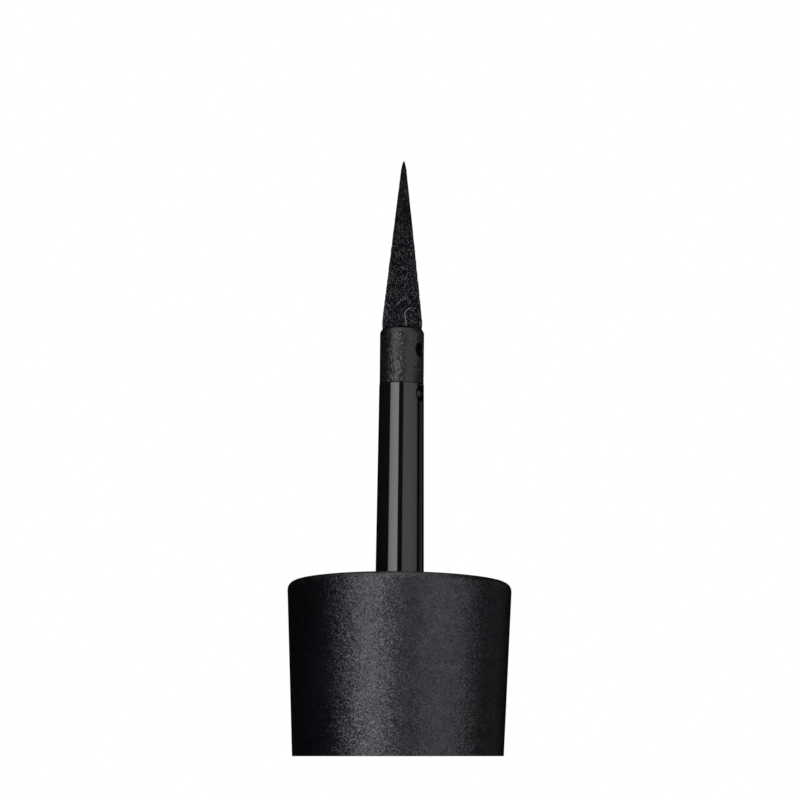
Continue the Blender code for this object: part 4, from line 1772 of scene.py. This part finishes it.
@dataclass
class Studio:
    """The camera, the lamps, the dark curtain round them and the pale shelf that the object stands on."""

    axis_x: float = Stand.of("cap_shell").axis_x
    aim_z: float = 0.06600
    aim_right_of_axis: float = -0.00011
    camera_distance: float = 1.0
    camera_rise: float = radians(-7.3)
    roll: float = radians(0.58)
    picture_width: float = 0.0608
    sensor_millimetres: float = 36.0
    clip: tuple[float, float] = (0.05, 20.0)
    shelf_edge_row: float = 756.2
    shelf_half_width: float = 1.1
    shelf_back: float = 1.4
    shelf_thickness: float = 0.03
    shelf_grey: float = 0.86
    shelf_top_slope: float = 0.5
    shelf_shade_reach: tuple[float, float] = (0.12, 0.40)
    curtain_radius: float = 0.75
    curtain_low: float = 0.0005
    curtain_high: float = 0.95
    curtain_hole: float = 0.07
    curtain_grey: float = 0.004
    curtain_steps: int = 96
    ambient: float = 0.50
    power_per_radiance: float = pi
    lamps: tuple[SoftBox, ...] = (
        SoftBox("left_softbox", -35.7, 10.8, 0.22, 0.182, 0.0595, 4.3, (0.85, 0.5), (0.5, 0.0)),
        SoftBox("right_softbox", 49.5, 16, 0.22, 0.357, 0.110, 1.30, (0.25, 0.0), (0.8, 0.1)),
        SoftBox("left_low_softbox", -27, -6.66, 0.22, 0.138, 0.073, 4.9, (0.6, 1.0), (0.5, 0.3)),
        SoftBox("right_low_softbox", 43, -7.3, 0.22, 0.260, 0.068, 1.76, (0.4, 1.0), (0.3, 0.2)),
        SoftBox("left_top_softbox", -34, 49, 0.55, 0.45, 0.34, 2.2),
        SoftBox("right_top_softbox", 34, 49, 0.55, 0.45, 0.34, 0.9),
        SoftBox("top_softbox", 0, 88, 0.62, 0.7, 0.6, 0.9),
        SoftBox("back_reflector", 122, 9, 0.5, 0.23, 0.40, 0.14),
    )

    def build_camera(self) -> Object:
        """Places the camera, a little below the object's middle and looking slightly up.

        Returns:
            The camera.
        """
        data = bpy.data.cameras.new("long_lens")
        data.sensor_width = self.sensor_millimetres
        data.lens = self.sensor_millimetres * self.camera_distance / self.picture_width
        data.clip_start, data.clip_end = self.clip
        camera = link("camera", data)
        aim = Vector((self.axis_x + self.aim_right_of_axis, 0, self.aim_z))
        place = facing(aim, 0.0, self.camera_rise, self.camera_distance)
        camera.matrix_world = place @ Matrix.Rotation(self.roll, 4, "Z")
        bpy.context.scene.camera = camera
        return camera

    def shelf_edge(self, camera: Object) -> tuple[float, float]:
        """Where the shelf's front edge lies, and how it is turned, to show as a level line at its row.

        Args:
            camera: The camera.

        Returns:
            The edge's distance along -Y, and the turn of the shelf round +Z.
        """
        start = camera.matrix_world.translation
        up = (0.5 - self.shelf_edge_row / PICTURE_PIXELS) * self.sensor_millimetres
        edge = []
        for right in (-self.sensor_millimetres / 2, self.sensor_millimetres / 2):
            ray = camera.matrix_world.to_3x3() @ Vector((right, up, -camera.data.lens))
            edge.append(start - ray * (start.z / ray.z))
        slope = edge[1] - edge[0]
        turn = atan2(slope.y, slope.x)
        return edge[0].x * sin(turn) - edge[0].y * cos(turn), turn

    def build_shelf(self, camera: Object) -> Object:
        """Makes the pale shelf, whose front edge crosses the picture.

        Args:
            camera: The camera.

        Returns:
            The shelf.
        """
        front, turn = self.shelf_edge(camera)
        size = Matrix.Diagonal((self.shelf_half_width * 2, front + self.shelf_back, self.shelf_thickness, 1))
        place = Matrix.Translation((0, (self.shelf_back - front) / 2, -self.shelf_thickness / 2))
        shape = bmesh.new()
        bmesh.ops.create_cube(shape, size=1.0, matrix=Matrix.Rotation(turn, 4, "Z") @ place @ size)
        shelf = link_shape("shelf", shape)
        shelf.data.materials.append(self._shelf_material("pale_shelf_top", lit=True))
        shelf.data.materials.append(self._shelf_material("white_shelf_side", lit=False))
        mark_faces(shelf, lambda face: face.normal.z <= self.shelf_top_slope)
        shelf.data.shade_flat()
        return shelf

    def _shelf_material(self, name: str, lit: bool) -> Material:
        """A pale material that far from the object, or all over, shows as plain white.

        Args:
            name: The material's name.
            lit: Whether the part near the object is lit and takes its shadow.

        Returns:
            The material.
        """
        surface = Surface.dull(name, self.shelf_grey)
        white = surface.add("Emission", {"Color": (1.0, 1.0, 1.0, 1.0), "Strength": 1.0})
        share = self._seen(surface)
        if lit:
            away = surface.add("VectorMath", {0: surface.position}, operation="LENGTH").outputs["Value"]
            share = surface.times(share, surface.span(away, *self.shelf_shade_reach))
        mixed = surface.add("MixShader", {0: share, 1: surface.shader.outputs[0], 2: white.outputs[0]})
        surface.feed(surface.tree.nodes["Material Output"].inputs["Surface"], mixed.outputs[0])
        return surface.material

    @staticmethod
    def _seen(board: Board) -> NodeSocket:
        """A mask of who looks at a surface.

        Args:
            board: The board of its nodes.

        Returns:
            1 for the camera and for what metal and glass show, 0 for the light that falls on the object.
        """
        path = board.add("LightPath").outputs
        metal = board.calc("MAXIMUM", path["Is Camera Ray"], path["Is Glossy Ray"])
        return board.calc("MAXIMUM", metal, path["Is Transmission Ray"])

    def build_curtain(self) -> Object:
        """Hangs a dark curtain round the set, which only the object's gloss and shade see.

        Returns:
            The curtain.
        """
        corners = [
            (0, self.curtain_high),
            (self.curtain_radius, self.curtain_high),
            (self.curtain_radius, self.curtain_low),
            (self.curtain_hole, self.curtain_low),
        ]
        curtain = link_shape("dark_curtain", turned(corners, self.axis_x, self.curtain_steps))
        curtain.data.materials.append(Surface.dull("black_cloth", self.curtain_grey).material)
        curtain.visible_camera = False
        curtain.visible_diffuse = False
        curtain.visible_shadow = False
        return curtain

    def build_lamp(self, box: SoftBox) -> Object:
        """Hangs one soft lamp.

        Args:
            box: What it is like.

        Returns:
            The lamp.
        """
        data = bpy.data.lights.new(box.name, "AREA")
        data.shape = "RECTANGLE"
        data.size = box.width
        data.size_y = box.height
        data.energy = box.radiance * box.width * box.height * self.power_per_radiance
        self._shade_lamp(data, box)
        lamp = link(box.name, data)
        aim = Vector((self.axis_x, 0, self.aim_z))
        bearing, elevation = radians(box.bearing_degrees), radians(box.elevation_degrees)
        lamp.matrix_world = facing(aim, bearing, elevation, box.distance)
        lamp.visible_camera = False
        return lamp

    @staticmethod
    def _shade_lamp(data: AreaLight, box: SoftBox) -> None:
        """Makes a lamp's face fade away from its hot part, across and upwards.

        Args:
            data: The lamp.
            box: What it is like.
        """
        data.use_nodes = True
        board = Board(data.node_tree)
        place = board.add("SeparateXYZ", {0: board.add("NewGeometry").outputs["Parametric"]}).outputs
        left = 1.0
        for share, hot, fade in zip(place, box.hot_part, box.fade):
            away = board.minus(share, hot)
            left = board.plus(left, board.times(away, away), -fade)
        board.feed(data.node_tree.nodes["Emission"].inputs["Strength"], left)

    def build_world(self) -> None:
        """Makes the world white where it is seen, and dimmer as a light."""
        world = bpy.data.worlds.new("white_surround")
        world.use_nodes = True
        bpy.context.scene.world = world
        board = Board(world.node_tree)
        background = world.node_tree.nodes["Background"].inputs
        board.feed(background["Color"], (1.0, 1.0, 1.0, 1.0))
        board.feed(background["Strength"], board.span(self._seen(board), 0.0, 1.0, self.ambient, 1.0))

    def build(self) -> None:
        """Sets up the whole studio."""
        bpy.context.scene.view_settings.view_transform = "Standard"
        self.build_shelf(self.build_camera())
        self.build_curtain()
        for box in self.lamps:
            self.build_lamp(box)
        self.build_world()


def main() -> None:
    """Builds the studio and every sub-assembly."""
    logging.basicConfig(level=logging.INFO, format="%(name)s: %(message)s", stream=sys.stdout)
    Studio().build()
    for assembly in (CapHandle(), ApplicatorTip(), BottleBody(), InkReservoir()):
        for piece in assembly.build():
            LOG.info("%s: %s, %d faces", type(assembly).__name__, piece.name, len(piece.data.polygons))


if __name__ == "__main__":
    main()
